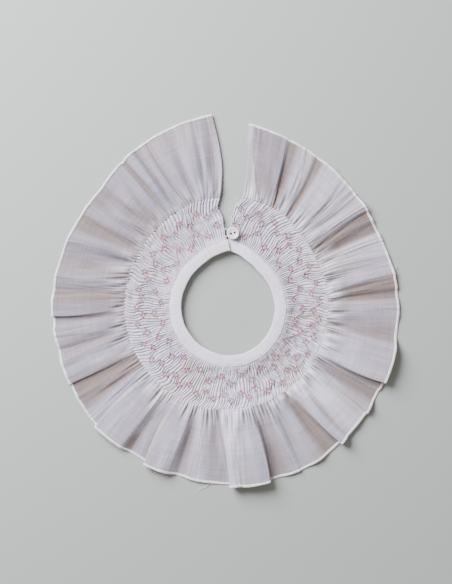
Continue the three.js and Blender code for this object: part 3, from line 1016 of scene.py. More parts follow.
@dataclass
class SmockingRow:
    """One zigzag row of flower stitches.

    Attributes:
        count: how many flowers it has.
        near: depth in the yoke of the flowers nearer the neck.
        far: depth of the others.
        seed: of its unevenness.
    """

    count: int
    near: float
    far: float
    seed: int

    def flowers(self) -> Array:
        """Share of the way round and depth of each flower.

        Returns:
            Flowers x 2.
        """
        chance = np.random.default_rng(self.seed)
        share = (np.arange(self.count) + 0.5 + chance.uniform(-0.14, 0.14, self.count)) / self.count
        depth = np.where(np.arange(self.count) % 2 == 0, self.far, self.near)
        return np.stack([share, depth + chance.uniform(-0.025, 0.025, self.count)], axis=1)


# How deep the pleats stand, by angle: less where the light falls across them.
STEEP: Table = (
    (0, 0.85), (20, 0.68), (60, 0.68), (85, 1.0), (115, 1.4), (150, 1.45), (175, 1.1), (205, 0.9), (230, 0.66),
    (255, 0.8), (275, 1.05), (300, 1.35), (330, 1.45), (347, 1.1), (360, 0.85),
)


@dataclass
class SmockedYoke:
    """The yoke: fine pleats held by two zigzag rows of pink and mauve stitches.

    Attributes:
        plan: the collar's plan.
        pleats: how the strip is pleated.
        thickness: of the cloth, in millimetres.
        crest: height of the ridges over the table.
        rows: lines of points from the band outwards.
        lowest: least height of a slit.
        relief: depth of the slits between the pleats.
        relief_at_seam: the same where the pleats are let go.
        pinch: how far a stitch draws the pleats to itself.
        slant: how far the pleats wander, in pleats.
        swirl: how far they turn between the band and the ruffle, in pleats.
        flower: half the size of a flower stitch.
        smocking: the two rows.
        steep: how deep the pleats stand, by angle.
    """

    plan: CollarPlan
    pleats: Pleats
    thickness: float = 0.3
    crest: float = 3.9
    rows: int = 38
    lowest: float = 0.5
    relief: float = 3.1
    relief_at_seam: float = 1.5
    pinch: float = 0.36
    slant: float = 1.0
    swirl: float = 2.0
    flower: float = 2.5
    smocking: tuple = (
        SmockingRow(61, 0.60, 0.75, Seed.OUTER_FLOWERS), SmockingRow(41, 0.19, 0.36, Seed.INNER_FLOWERS),
    )
    steep: Callable = tabled(STEEP)

    def flowers(self) -> Array:
        """Share of the way round and depth of the flowers of both rows."""
        return np.concatenate([row.flowers() for row in self.smocking])

    def shifted(self, share: Array, depth: Array) -> Array:
        """Move pleats to the stitches and let them lean between.

        Args:
            share: share of the way round.
            depth: depth in the yoke.

        Returns:
            The moved share.
        """
        pleat = 1.0 / self.pleats.count
        held = ease(depth, 0.0, 0.14) * ease(1 - depth, 0.0, 0.12)
        turns = (0.0, *sorted(deep for row in self.smocking for deep in (row.near, row.far)), 1.0)
        lean = 0.45 * wander(share * 60, depth * 6, Seed.LEAN)
        for k, (before, at, after) in enumerate(zip((-0.2, *turns[:-1]), turns, (*turns[1:], 1.2))):
            near = np.clip(np.minimum((depth - before) / (at - before), (after - depth) / (after - at)), 0, 1)
            lean = lean + near * wander(share * 30, 3.5 + 7 * k, Seed.ZIGZAG)
        free = ease(share, 0.0, 0.07) * ease(1 - share, 0.0, 0.07)
        turned = self.swirl * (1 + 0.5 * wander(share * 9, 0.0, Seed.SWIRL)) * free * (1 - depth)
        moved = share + pleat * (self.slant * lean * held - turned)
        for at, deep in self.flowers():
            gap = share - at
            near = np.exp(-((gap / (1.7 * pleat)) ** 2) - ((depth - deep) / 0.055) ** 2)
            moved = moved - self.pinch * gap * near * held
        return moved

    def ridge_height(self, share: Array, depth: Array) -> Array:
        """Height of the ridges over the table, in millimetres.

        Args:
            share: how far round the collar.
            depth: in the yoke, 0 at the neck.

        Returns:
            The heights.
        """
        squeezed = ease(depth, -0.03, 0.12)
        free = self.plan.yoke_lift(depth) + self.crest
        angle = np.asarray(share) * 360.0
        return mix(6.1 + self.plan.lap_shift(angle), free, squeezed)

    def grid(self) -> ClothGrid:
        """Lay out the pleated cloth.

        Returns:
            The cloth.
        """
        steps = (0.0, 0.12, 0.3, 0.5, 0.7, 0.88)
        number = self.pleats.columns(steps)[None, :]
        depth = np.concatenate([[-0.03], np.linspace(0.0, 1.0, self.rows)])[:, None]
        share = self.shifted(self.pleats.share(number), depth)
        angle = self.plan.yoke_angle(share, depth)
        radius = self.plan.yoke_radius(angle, depth)
        profile = self.pleats.profile(number)
        squeezed = ease(depth, -0.03, 0.12)
        high = self.ridge_height(share, depth)
        turn = np.mod(angle, 360.0)
        steep = self.steep(turn)
        cut = (0.68 + 0.46 * wander(number * 0.9, depth * 7, Seed.CUT)) * (0.45 + 0.55 * steep)
        low = high - cut * mix(0.6, mix(self.relief, self.relief_at_seam, ease(depth, 0.82, 1.0)), squeezed)
        low = np.maximum(low, self.lowest)
        tall = self.pleats.of(self.pleats.heights, number) + 0.26 * wander(number * 0.7, depth * 12, Seed.TALL)
        sunk = np.zeros_like(share)
        for at, deep in self.flowers():
            gap = (share - at) * self.pleats.count
            sunk = np.maximum(sunk, np.exp(-((gap / 1.2) ** 4) - ((depth - deep) / 0.03) ** 2))
        height = low + (high - low) * profile * (tall - 0.26 * sunk) - 0.55 * ease(depth, 0.97, 1.0)
        thread = paired(number * STRIP / self.pleats.count, depth * YOKE_DEPTH)
        # Painted shade in the slits, stronger where light runs along the pleats; painted light on the ridges; painted
        # light and shade by angle, darker near 320 degrees and lighter near 172.
        flat = np.clip(steep - 1.0, 0.0, 0.5)
        shade = (0.05 + 0.8 * flat) * (1 - profile) ** 1.5
        doubled = 0.65 + 0.35 * profile - 0.13 * (1 + np.cos(np.radians(angle - 320)))
        doubled = np.clip(doubled + 0.2 * bell(turn - 172, 32), 0.0, 1.0)
        return ClothGrid(self.plan.spot(angle, radius, height), thread, shade, doubled)

    def on_ridges(self, angle: Array, radius: Array, above: float) -> Array:
        """Places that lie on the ridges.

        Args:
            angle: in degrees.
            radius: in millimetres.
            above: millimetres over the ridges.

        Returns:
            Places in metres.
        """
        inner = self.plan.yoke_start(angle)
        depth = (radius - inner) / (self.plan.release(angle) - inner)
        return self.plan.spot(angle, radius, self.ridge_height(angle / 360.0, depth) - 0.25 + above)

    def stitches(self) -> dict[str, list[Array]]:
        """Lines of the smocking threads by their colour.

        Returns:
            Lists of n x 3 paths in metres.
        """
        chance = np.random.default_rng(Seed.STITCHES)
        lines: dict[str, list[Array]] = {"pink": [], "mauve": [], "knots": [], "joins": []}

        def line(start: Array, end: Array, sag: float, above: float) -> Array:
            """Thread between two places given as angle and radius.

            Args:
                start: first place.
                end: second place.
                sag: how far it sinks between its ends.
                above: height over the ridges.

            Returns:
                Seven points in metres.
            """
            s = np.linspace(0, 1, 7)
            at = start + (end - start) * s[:, None]
            placed = self.on_ridges(at[:, 0], at[:, 1], above)
            placed[:, 2] -= sag * MM * (0.5 - 0.5 * np.cos(2 * np.pi * s * 2))
            return placed

        for row in self.smocking:
            before = None
            for share, depth in row.flowers():
                angle = float(self.plan.yoke_angle(share, depth))
                radius = float(self.plan.yoke_radius(angle, depth))
                wide = self.flower * chance.uniform(0.85, 1.15)
                tall = self.flower * chance.uniform(0.75, 1.05)
                turn = chance.uniform(-0.35, 0.35)
                corners = []
                for k in range(4):
                    a = k * math.pi / 2 + turn
                    over = math.degrees(wide * math.sin(a) / radius)
                    corners.append(np.array([angle + over, radius + tall * math.cos(a)]))
                for k in range(4):
                    start, end = corners[k], corners[(k + 1) % 4]
                    past = chance.uniform(0.12, 0.45)
                    run = end - start
                    colour = "pink" if k % 2 == 0 or chance.random() < 0.3 else "mauve"
                    lines[colour].append(line(start - run * past, end + run * past, 0.1, 0.4 + 0.16 * (k % 2)))
                    knot = run * 0.13
                    lines["knots"].append(line(start - knot, start + knot, 0.0, 0.62))
                    if chance.random() < 0.65:
                        cross = np.array([knot[0], -knot[1]])
                        lines["knots"].append(line(start - cross, start + cross, 0.0, 0.68))
                if before is not None and chance.random() < 0.85:
                    lines["joins"].append(line(before, corners[3], 0.1, 0.55))
                before = corners[1]
        return lines

    def build(self, cloth: Material, threads: dict[str, Material]) -> list[Thing]:
        """Make the pleated cloth and its stitches.

        Args:
            cloth: the voile.
            threads: the threads' materials by the colour of their lines.

        Returns:
            The pieces, the cloth first.
        """
        grid = self.grid()
        voile = dress(cloth_shell("smocked_voile", grid, self.thickness * MM), cloth, ["smocked_yoke"])
        LOG.info("smocked_voile: %.4f m2 on one side", grid.area())
        pieces = [voile]
        for colour, lines in self.stitches().items():
            tree = ThreadTree(ThreadShape.CONTINUOUS, SMOCKING_RADII[colour])
            pieces.append(dress(tree.sew("smocking_" + colour, lines, threads[colour])))
        return pieces


# ---------------------------------------------------------------- ruffle


@dataclass(frozen=True)
class Fold:
    """A valley of the ruffle and the crest after it, clockwise. Angles at the hem, half way and at the yoke.

    Attributes:
        valley: its two sides at the hem, at the middle and at the yoke.
        crest: the crest's two sides at the same three places.
        rise: height of the crest.
        reach: how far the crest's hem reaches past the general line.
        lap: how far the crest hangs over its valley, in degrees, negative where it hangs back.
        floor: height of the valley.
        at_hem: share of the height that is left at the hem.
        shade: how much painted shade the valley gets, for its shadow and the see-through darkness of one layer.
    """

    valley: tuple
    crest: tuple
    rise: float
    reach: float = 0.0
    lap: float = 0.0
    floor: float = 0.0
    at_hem: float = 1.0
    shade: float = 0.3


# A row gives the valley, the crest, rise, reach, lap, floor, at_hem and shade, as in Fold.
FOLDS = tuple(Fold(*row) for row in (
    ((20, 21, 21.8, 22.2, 24, 24.6), (24.5, 27, 26.8, 30.2, 27.6, 31), 2.8, 0, 0, 0, 0.25, 0.7),
    ((30.4, 31.4, 32.2, 33, 32.6, 33.4), (34.8, 41, 35.6, 42.4, 35.6, 41), 5.5, 0, 0, 0, 0.45, 0.9),
    ((43.2, 44.4, 43.8, 44.2, 42.6, 43), (46.5, 47.5, 45.8, 47, 44, 45), 4.5, 0, 0, 3.2, 0.3, 0.1),
    ((48.4, 49.6, 48.2, 49, 46.2, 46.8), (52.4, 54.3, 51, 53.3, 49, 54.4), 8, 0.8, 0.5, 2, 1, 0.3),
    ((56.4, 57, 55.8, 56.4, 57, 57.6), (57.6, 58.4, 57, 57.8, 58.2, 59), 4.4, 0, 0, 3.8, 1, 1),
    ((61.4, 62.6, 60.6, 61.8, 60.6, 61.4), (64.6, 66.8, 63.2, 65.6, 62.8, 65.2), 4, 0, 0, 0, 0.55, 1),
    ((68, 69.4, 66.9, 67.6, 66.4, 66.9), (71, 72.3, 70, 71, 69, 70), 3.6, 0, 0, 3, 0.4, 0.05),
    ((73.6, 75, 72.8, 73.6, 71.1, 71.6), (77.2, 78.8, 77.4, 79, 78.4, 80.6), 5, 0.5, 0.5, 2.2, 0.75, 0.15),
    ((80.2, 80.8, 80.6, 81.4, 82.2, 82.8), (82.2, 83, 82.4, 83.2, 83.6, 84.2), 2.6, 0, 0, 2.6, 1, 0.8),
    ((84.8, 86, 84.8, 85.8, 84.8, 85.6), (88.8, 91.6, 88.2, 91.8, 87.6, 92.2), 2.4, 0, 0, 0, 0.6, 0.8),
    ((96.4, 99.8, 96.4, 99.6, 96.6, 98.8), (104.4, 115.2, 103, 117, 101.4, 116), 9, 1.5, 1.8, 0, 1, 0.5),
    ((116, 116.4, 117.8, 118.1, 117, 117.4), (116.8, 117.8, 118.5, 119.1, 117.8, 118.3), 1.8, 0, 0, 1.5, 0.9, 0.9),
    ((119.4, 122.2, 119.8, 122.4, 119, 121.8), (125, 127, 124.4, 125.6, 124, 125), 6, 0.9, 0.9, 0, 0.8, 0.9),
    ((128, 129.6, 126.8, 128.8, 126, 128.2), (132, 134.6, 131.5, 134.6, 130.6, 133.6), 6, 0, 0, 4.8, 0.55, 0),
    ((135.8, 136.8, 136.4, 137.2, 135.6, 136.2), (138, 139.4, 138.8, 141.8, 137.8, 142.2), 8, 1.6, 1.8, 3, 1, 0.3),
    ((142.2, 144.4, 143.6, 145.4, 146.4, 147.4), (148.4, 150, 148.8, 150, 149.6, 151), 5, 0, 0, 0, 0.45, 0.95),
    ((153.5, 155, 154.2, 155, 155.6, 156.4), (156.6, 158, 156.8, 158.4, 157.8, 159), 3.6, 0, 0, 0, 0.45, 0.2),
    ((162.8, 165.4, 163, 164.8, 164.4, 165.4), (166.8, 173.5, 166, 173, 167.4, 172.6), 10, 2, -1.2, 0, 1, 0.45),
    ((174.8, 175.2, 174.8, 175.2, 173.8, 174.3), (176.3, 179.1, 176.8, 181.2, 176, 184), 10, 2.2, 1.8, 8.6, 1, 0.3),
    ((180.4, 184, 182.2, 184.3, 187.2, 188.4), (190, 192, 190.6, 192.4, 192.6, 194.8), 5, 0, 0, 0, 0.3, 0.5),
    ((195, 197.4, 195.6, 197.4, 196.6, 197.6), (201.4, 208.1, 200.2, 210, 200, 208.5), 9, 2.6, 1.8, 0, 1, 0.25),
    ((209.4, 214.4, 210.6, 214.8, 210, 213.6), (218.4, 228, 218, 229.8, 218.6, 229.4), 7.5, 1.8, 1.4, 0, 1, 0.2),
    ((229.2, 230, 230.8, 231.4, 231.2, 231.8), (231.4, 232.2, 232.6, 233.2, 233.6, 234.6), 3.4, 0, 0, 2.6, 0.2, 0),
    ((236, 236.8, 236, 236.8, 236.4, 237.2), (238, 239, 238, 239.2, 238.6, 240.2), 3.4, 0, 0, 0, 0.3, 0.7),
    ((240.6, 243, 241, 243.2, 241.8, 243.6), (244.8, 252, 244.8, 253.6, 246, 256), 4.6, 0.8, -1, 0.8, 1, 0.9),
    ((255.4, 256.6, 256.4, 257, 258, 258.6), (259.4, 262.6, 259, 263.6, 260.4, 265.4), 4.2, 0.8, 0, 0.6, 0.85, 0.3),
    ((265.2, 267, 265.5, 266.4, 266.9, 267.6), (267.6, 272.6, 267.6, 274, 270.6, 275.4), 4.4, 1, -1.2, 0.5, 1, 0.6),
    ((275.6, 276.6, 276.4, 277, 277.4, 278.2), (279, 281, 279.6, 282.6, 283, 288), 3.5, 0.4, 0, 1, 0.6, 0.3),
    ((285, 288.4, 287, 291, 292, 294.6), (292.4, 294.5, 295.2, 297, 297.4, 299), 5, 0, 0, 0, 0.5, 0.4),
    ((298.6, 301.6, 299.4, 301.8, 301.8, 302.6), (304.6, 306, 304.4, 305.6, 304.8, 306), 5, 0.4, 0, 0, 0.5, 0.9),
    ((306.6, 307.2, 306.8, 307.2, 308.6, 309.4), (308.6, 309.4, 308.8, 310.4, 311.2, 314.2), 5, 0, 0, 2, 0.15, 0.2),
    ((311.4, 313.6, 312.8, 314, 315.3, 315.8), (316, 319, 316.6, 318.4, 316.9, 318.4), 6, 0, 0, 0, 0.35, 0.55),
    ((320.2, 321, 320.6, 321.2, 321.4, 322.2), (321.8, 322.6, 322.6, 323.8, 323.8, 325.4), 4, 0, 0, 2.4, 0.5, 0.3),
    ((323.4, 324.2, 325.2, 325.8, 326.8, 327.4), (325.4, 328, 327, 329.4, 328.4, 331), 5.4, 0, 0, 0, 0.8, 0.7),
    ((329.8, 330.4, 330.6, 331, 332.2, 332.8), (331.4, 332.2, 332.4, 333.2, 335, 336.6), 4, 0, 0, 1, 0.1, 0.65),
    ((333, 334, 334.4, 335, 338.6, 339.3), (336, 338.6, 337.4, 339.6, 340.6, 342.2), 3.5, 0, 0, 0, 0.2, 0.45),
    ((341, 342, 341.8, 342.3, 343.4, 344), (343.6, 347.8, 343.8, 347.4, 345.2, 347.4), 4.5, 0, 0, 0, 0.2, 0.15),
    ((348.8, 349.4, 349, 349.6, 348.6, 349.2), (350.6, 351.6, 350.8, 351.8, 350.2, 351.2), 2.6, 0, 0, 0, 0.4, 0.2),
))

# By angle: painted light and shade on one layer, painted shade, painted highlight on the gathers' ridges, and how high
# the folds stand.
PAINTED_LIGHT_BY_ANGLE: Table = (
    (0, 0.06), (14, 0.1), (28, 0.38), (36, 0.42), (48, 0.32), (70, 0.38), (105, 0.42), (128, 0.42), (135, 0.52),
    (141, 0.42), (165, 0.34), (176, 0.34), (188, 0.34), (195, 0.24), (205, 0.36), (225, 0.33),
    (250, 0.2), (270, 0.08), (285, 0.02), (305, 0.06), (325, 0.12), (345, 0.25), (353, 0.12), (360, 0.06),
)
PAINTED_SHADE_BY_ANGLE: Table = (
    (0, 0.15), (25, 0.12), (100, 0.04), (130, 0.0), (190, 0.0), (220, 0.05), (245, 0.12), (270, 0.2),
    (300, 0.24), (330, 0.18), (345, 0.1), (360, 0.15),
)
RIDGE_HIGHLIGHT_BY_ANGLE: Table = (
    (0, 0.4), (30, 0.65), (60, 0.65), (100, 0.85), (135, 1.0), (190, 1.0), (220, 0.8), (245, 0.5), (300, 0.38),
    (345, 0.4), (360, 0.4),
)
FULL: Table = (
    (0, 0.95), (20, 0.8), (42, 0.7), (66, 0.68), (78, 0.85), (92, 1.08), (120, 1.0), (150, 1.12), (176, 1.0),
    (196, 0.8), (216, 0.66), (238, 0.66), (264, 0.68), (280, 0.9), (300, 1.1), (335, 1.15), (350, 1.0), (360, 0.95),
)


@dataclass(frozen=True)
class Tone:
    """A stretch along the folds with painted shade and painted light, darker or whiter than its folds alone make it.

    Attributes:
        yoke: its middle at the yoke, in degrees.
        hem: its middle at the hem, in degrees.
        width: half its width, in degrees.
        dark: how much painted shade it adds, negative where it takes some away.
        white: how much painted light it adds.
        start: depth at which it begins.
        end: depth at which it ends.
    """

    yoke: float
    hem: float
    width: float
    dark: float = 0.0
    white: float = 0.0
    start: float = -0.2
    end: float = 1.2

    def near(self, angle: Array, depth: Array) -> Array:
        """How far each point lies in it, from 0 to 1."""
        along = ease(depth, self.start - 0.12, self.start + 0.12) * (1 - ease(depth, self.end - 0.14, self.end + 0.14))
        return bell(angle - mix(self.yoke, self.hem, depth), self.width) * along


# A row gives yoke, hem, width, dark, white, start and end, as in Tone.
TONES = tuple(Tone(*row) for row in (
    (11, 10.5, 3.4, -0.3, 0.5, -0.2, 0.2), (40, 41, 2.6, -0.2, 0.28), (24, 21.2, 1.8, 0.8, -0.1),
    (33, 31.8, 1.5, 0.55, -0.15), (54.2, 54, 1.9, 1.1, -0.4, -0.2, 0.25), (57.6, 57.4, 2.6, 1.1, -0.3, 0.3),
    (66, 67, 3, -0.3, 0.25), (81, 81, 2.4, -0.8, 0.95, -0.2, 0.15), (83.6, 81.8, 3.2, 1.05, -0.25, 0.25),
    (91, 91, 2.5, 0.3, 0, 0.6), (93, 93, 1.8, -0.3, 0.45, -0.2, 0.15), (97.6, 97.4, 3, 0.25),
    (114, 113.5, 2.2, -0.1, 0.2), (121.5, 120.5, 2.2, 0.15), (131, 131.5, 4.5, -0.25, 0.35),
    (138.4, 138, 2.4, -0.4, 0.6, -0.2, 0.25), (132, 132, 1.6, 0.3, 0, -0.2, 0.15),
    (146.6, 144.6, 2, 0.45, -0.05, 0.2), (144, 143.8, 1.7, -0.3, 0.5, -0.2, 0.1),
    (165.4, 164.8, 1.8, -0.3, 0.2, 0.3), (160.8, 160.6, 3, 0.45), (178.5, 177.6, 2.6, -0.2, 0.4),
    (186, 186, 1.8, 0.6, -0.2, -0.2, 0.2), (190.5, 191.5, 2.6, -0.1, 0.25), (200, 199.4, 2.4, -0.3, 0.25),
    (216.6, 216.8, 2.6, -0.5, 0.6, -0.2, 0.3), (216, 215.8, 1.6, 1, -0.35, 0.75), (240.6, 240.8, 4, 0.85, -0.2),
    (249, 248, 2.2, -0.1, 0.25, -0.2, 0.6), (257, 253, 2.8, 0.5), (275.6, 274.4, 2.8, 0.8, -0.1),
    (287.6, 284.6, 2, 0.4, 0, -0.2, 0.7), (302.4, 300.8, 2.8, 0.5, 0.12), (311.5, 311.5, 2.4, 0.15),
    (309, 309, 1.6, 0.5, -0.15, 0.7), (327.2, 324.2, 0.7, 0.6), (338.6, 341, 3.4, 0.25),
    (353.2, 354.4, 2.2, 0.4, -0.4),
))


@dataclass
class Ruffle:
    """The free ruffle with its folds, the run-out of the pleats, doubled opening edges and a rolled hem.

    Attributes:
        plan: the collar's plan.
        pleats: how the strip is pleated.
        yoke: the yoke that it leaves.
        thickness: of the cloth.
        valley: height of a valley that is pressed on the table.
        first_crest: the crest beside the opening, like a Fold's.
        first_rise: its height.
        shoulder: share of a crest's height at its two sides.
        strip: width of the doubled edge at the opening.
        lift_at_yoke: how far the cloth leaves the table at the yoke.
        rows: lines of points from the yoke outwards.
        widest: the most degrees between two columns at the hem.
        rounding: passes that round the folds.
        hem_width: across the rolled hem.
        hem_height: of the rolled hem.
        edge_at: radius at which the opening's edges give the outermost columns' angles.
        right_hem: angles of the two columns of the doubled right edge, at the hem.
        left_hem: angles of the two of the left edge.
        right_lift: heights of the right edge's two columns.
        left_lift: heights of the left edge's.
        roof_reach: columns over which a fold's crests give it painted shade.
        roof_passes: passes that soften that painted shade.
        body: painted light and shade on the cloth, by angle.
        painted_shade_by_angle: painted shade, by angle.
        ridge_highlight: painted highlight on the gathers' ridges, by angle.
        steep: how high the gathers stand, by angle.
        full: how high the folds stand, by angle.
    """

    plan: CollarPlan
    pleats: Pleats
    yoke: SmockedYoke
    thickness: float = 0.3
    valley: float = 0.5
    first_crest: tuple = (9.8, 18.5, 11.0, 20.8, 12.4, 22.4)
    first_rise: float = 5.5
    shoulder: float = 0.9
    strip: float = 5.6
    lift_at_yoke: float = 2.5
    rows: int = 33
    widest: float = 0.42
    rounding: int = 5
    hem_width: float = 2.4
    hem_height: float = 1.1
    edge_at: float = 105.0
    right_hem: tuple = (6.4, 8.4)
    left_hem: tuple = (353.8, 355.4)
    right_lift: tuple = (1.2, 1.7)
    left_lift: tuple = (0.5, 1.2)
    roof_reach: int = 9
    roof_passes: int = 30
    body: Callable = tabled(PAINTED_LIGHT_BY_ANGLE)
    painted_shade_by_angle: Callable = tabled(PAINTED_SHADE_BY_ANGLE)
    ridge_highlight: Callable = tabled(RIDGE_HIGHLIGHT_BY_ANGLE)
    steep: Callable = tabled(STEEP)
    full: Callable = tabled(FULL)

    def key_lines(self) -> dict[str, Array]:
        """Lines along the crests and valleys, each value by its name.

        Returns:
            One number a line under each name.
        """
        lines: list[tuple] = []

        def add(angles: Sequence[float], *values: float) -> None:
            """Add one line: its angles, then height, reach, lap, what is left at the hem and shade."""
            lines.append((*angles, *values, *(0.0, 0.0, 0.0, 1.0, 0.0)[len(values):]))

        def between(sides: Sequence[float]) -> list[float]:
            """Angles half way between a crest's two sides."""
            return [(a + b) / 2 for a, b in zip(sides[0::2], sides[1::2])]

        sides = self.first_crest
        add(sides[0::2], self.first_rise * self.shoulder, 0, 0, 0.5)
        add(between(sides), self.first_rise, 0, 0, 0.5)
        add(sides[1::2], self.first_rise * self.shoulder, 0, 0, 0.25)
        lap_before = 0.0
        for fold in FOLDS:
            forward, back = max(fold.lap, 0.0), max(-fold.lap, 0.0)
            drawn = mix(-0.8 * fold.at_hem, fold.reach, fold.floor / fold.rise)
            add(fold.valley[0::2], fold.floor, drawn, -lap_before, fold.at_hem, fold.shade)
            add(fold.valley[1::2], fold.floor, drawn, back, fold.at_hem, fold.shade)
            add(fold.crest[0::2], fold.rise * self.shoulder, fold.reach * 0.5, -0.35 * back, fold.at_hem)
            if fold.crest[1] - fold.crest[0] > 1.8:
                add(between(fold.crest), fold.rise, fold.reach * 0.75, 0.0, fold.at_hem)
            add(fold.crest[1::2], fold.rise * self.shoulder, fold.reach, 0.35 * forward, fold.at_hem)
            lap_before = forward
        add((353.5, 354.0, 352.2), 0.0, 0)
        table = np.array(lines, float)
        names = ("hem", "mid", "yoke", "height", "reach", "lap", "at_hem", "shade")
        return {name: table[:, i] for i, name in enumerate(names)}

    def columns(self, keys: dict[str, Array]) -> Array:
        """Places of the mesh's columns on the key lines, counted from the first.

        The first three places stand for the doubled right edge, the last three for the left one.

        Args:
            keys: the key lines.

        Returns:
            Rising places, the opening's edges at -2 and at the last key line's number plus 2.
        """
        last = len(keys["yoke"]) - 1
        right, left = float(self.plan.right_edge(self.edge_at)), float(self.plan.left_edge(self.edge_at))
        step = math.degrees(self.strip / self.edge_at)
        yoke = np.concatenate([[right, right + step], keys["yoke"], [left - step, left]])
        hem = np.concatenate([self.right_hem, keys["hem"], self.left_hem])
        place = np.arange(-2, last + 3, dtype=float)
        angle = mix(right, left, self.pleats.share(self.pleats.columns((0.0, 0.18, 0.5, 0.82))))
        found = np.unique(np.concatenate([np.interp(angle, yoke, place), place]))
        found = found[np.concatenate([[True], np.diff(found) > 1e-3])]
        gaps = np.abs(np.diff(np.interp(found, place, hem)))
        parts = np.maximum(np.ceil(gaps / self.widest).astype(int), 1)
        dense = [np.linspace(a, b, n, endpoint=False) for a, b, n in zip(found[:-1], found[1:], parts)]
        return np.append(np.concatenate(dense), place[-1])

    def grid(self) -> ClothGrid:
        """Lay out the ruffle's cloth.

        Returns:
            The cloth.
        """
        plan, keys = self.plan, self.key_lines()
        last = len(keys["yoke"]) - 1
        place = self.columns(keys)
        depth = (np.linspace(0, 1, self.rows + 1) ** 1.3)[:, None]
        number = np.arange(-2, last + 3, dtype=float)
        index = np.clip(np.searchsorted(number, place, side="right") - 1, 0, len(number) - 2)
        share = place - number[index]
        eased = 0.45 * share + 0.55 * ease(share)

        def across(name: str, right: Sequence[float], left: Sequence[float]) -> Array:
            """Spread a value of the key lines over the columns, with two values more at each edge."""
            row = np.concatenate([right, keys[name], left])
            return mix(row[index], row[index + 1], eased)

        key_angle = self.key_angles(keys, depth)
        angle = soften(mix(key_angle[:, index], key_angle[:, index + 1], share), self.rounding)
        fold = soften(across("height", self.right_lift, self.left_lift), self.rounding)
        radius = mix(
            plan.release(angle) - 0.9, plan.hem(angle) + across("reach", (0, 0), (0, 0)) * depth**2, depth
        )
        grown = 0.04 + 0.96 * (1 - (1 - np.clip(depth / 0.55, 0, 1)) ** 1.6)
        grown = grown * mix(1.0, across("at_hem", (1, 1), (1, 1)), ease(depth, 0.3, 1.0))
        at_yoke = np.interp(place, number, key_angle[0])
        pleat = self.pleats.number((at_yoke - at_yoke[0]) / (at_yoke[-1] - at_yoke[0]))[None, :]
        turn = np.mod(angle, 360.0)
        gathers, ridges, sharp = self.run_out(pleat, depth, self.steep(turn))
        height = self.valley + self.lift_at_yoke * leaving_yoke(depth) + fold * grown * self.full(turn) + gathers
        height = np.maximum(height + self.crumple(place[None, :], depth), self.thickness + 0.12)
        turned = self.doubled(place, angle, radius, last)
        # Painted shade and painted light for the cloth's colour; only the turned-back edge is really double.
        shade = self.hollows(angle, depth, radius, height, across("shade", (0, 0), (0, 0)), sharp)
        white = self.whiteness(angle, depth, turned, ridges)
        for tone in TONES:
            near = tone.near(angle, depth)
            shade, white = shade + tone.dark * near, white + tone.white * near
        thread = paired(pleat * STRIP / self.pleats.count, YOKE_DEPTH + depth * RUFFLE_DEPTH)
        points = plan.spot(angle, radius, height + 0.6 * turned)
        return ClothGrid(points, thread, np.clip(shade, 0.0, 1.0), np.clip(white, 0.0, 1.0))

    def hollows(self, angle: Array, depth: Array, radius: Array, height: Array, given: Array, sharp: Array) -> Array:
        """Painted shade: how deep in a fold each point lies, and darker in creases, by angle and beside the opening.

        Args:
            angle: of each point.
            depth: of each row.
            radius: of each point.
            height: of each point, before the doubled edges are added.
            given: the folds' own painted shade at each column.
            sharp: how deep it lies in a sharp crease.

        Returns:
            A share from 0 to 1.
        """
        roof = height
        for _ in range(self.roof_reach):
            roof = np.maximum(roof, np.maximum(np.roll(roof, 1, axis=1), np.roll(roof, -1, axis=1)))
        deep = 0.8 * np.clip((soften(roof, self.roof_passes) - height - 1.3) / 3.6, 0, 1) * ease(depth, 0.02, 0.35)
        # The flap beside the opening is drawn darker, and painted shade runs along its turned-back edge.
        flap = ease(angle, 6.0, 9.0) * (1 - ease(angle, 17.0, 21.0))
        edge = 0.8 * bell(angle - self.turned_back(radius) - 0.3, 0.3) * ease(depth, 0.02, 0.1)
        given = given * mix(0.4, 1.0, ease(depth, 0.0, 0.5))
        for more in (given, self.painted_shade_by_angle(np.mod(angle, 360.0)), 0.75 * sharp, 0.5 * flap, edge):
            deep = np.maximum(deep, more)
        return deep

    def whiteness(self, angle: Array, depth: Array, turned: Array, ridges: Array) -> Array:
        """Painted light and shade, and doubled cloth: how white the cloth is drawn.

        Args:
            angle: of each point.
            depth: of each row.
            turned: 1 where the cloth is turned back on itself.
            ridges: how far each point is on a gather's ridge.

        Returns:
            A share from 0 to 1.
        """
        turn = np.mod(angle, 360.0)
        # Painted light and shade by angle, changing with depth, and painted light near 135 and 180 degrees.
        gain = 0.97 + 0.19 * np.cos(np.radians(angle - 150))
        body = self.body(turn) * mix(gain, 1.95 - gain, depth)
        for at, share, end in ((135, 0.3, 1.0), (180, 0.45, 0.75)):
            body = body + share * bell(angle - at, 4.5) * (1 - ease(depth, 0.2, end))
        # Painted highlight on the gathers' ridges and painted shade between them near the yoke; turned-back cloth is
        # really double.
        ridges = ridges * self.ridge_highlight(turn)
        return np.maximum(np.maximum(0.6 * turned, ridges), body * (1 - ease(depth, 0.5, 0.0) * (1 - ridges)))

    def edge_radius(self, depth: Array, angle: float) -> Array:
        """Radius at a depth beside the opening."""
        return mix(self.plan.release(angle), self.plan.hem(angle), depth)

    def key_angles(self, keys: dict[str, Array], depth: Array) -> Array:
        """Angle of each key line at each depth, in order, with the laps added and the doubled edges beside them.

        Args:
            keys: the key lines.
            depth: one row a depth.

        Returns:
            Depths x lines, in degrees.
        """
        d = depth
        angle = (
            keys["yoke"] * 2 * (d - 0.5) * (d - 1) - keys["mid"] * 4 * d * (d - 1) + keys["hem"] * 2 * d * (d - 0.5)
        )
        rank = np.arange(angle.shape[1]) * 0.09
        angle = np.maximum.accumulate(angle - rank, axis=1) + rank
        angle = angle + keys["lap"] * ease(d, 0.3, 1.0)
        right, left = self.plan.right_edge(self.edge_radius(d, 8.0)), self.plan.left_edge(self.edge_radius(d, 354.0))
        wide = np.degrees(self.strip / self.edge_radius(d, 8.0))
        return np.concatenate([right, right + wide, angle, left - wide, left], axis=1)

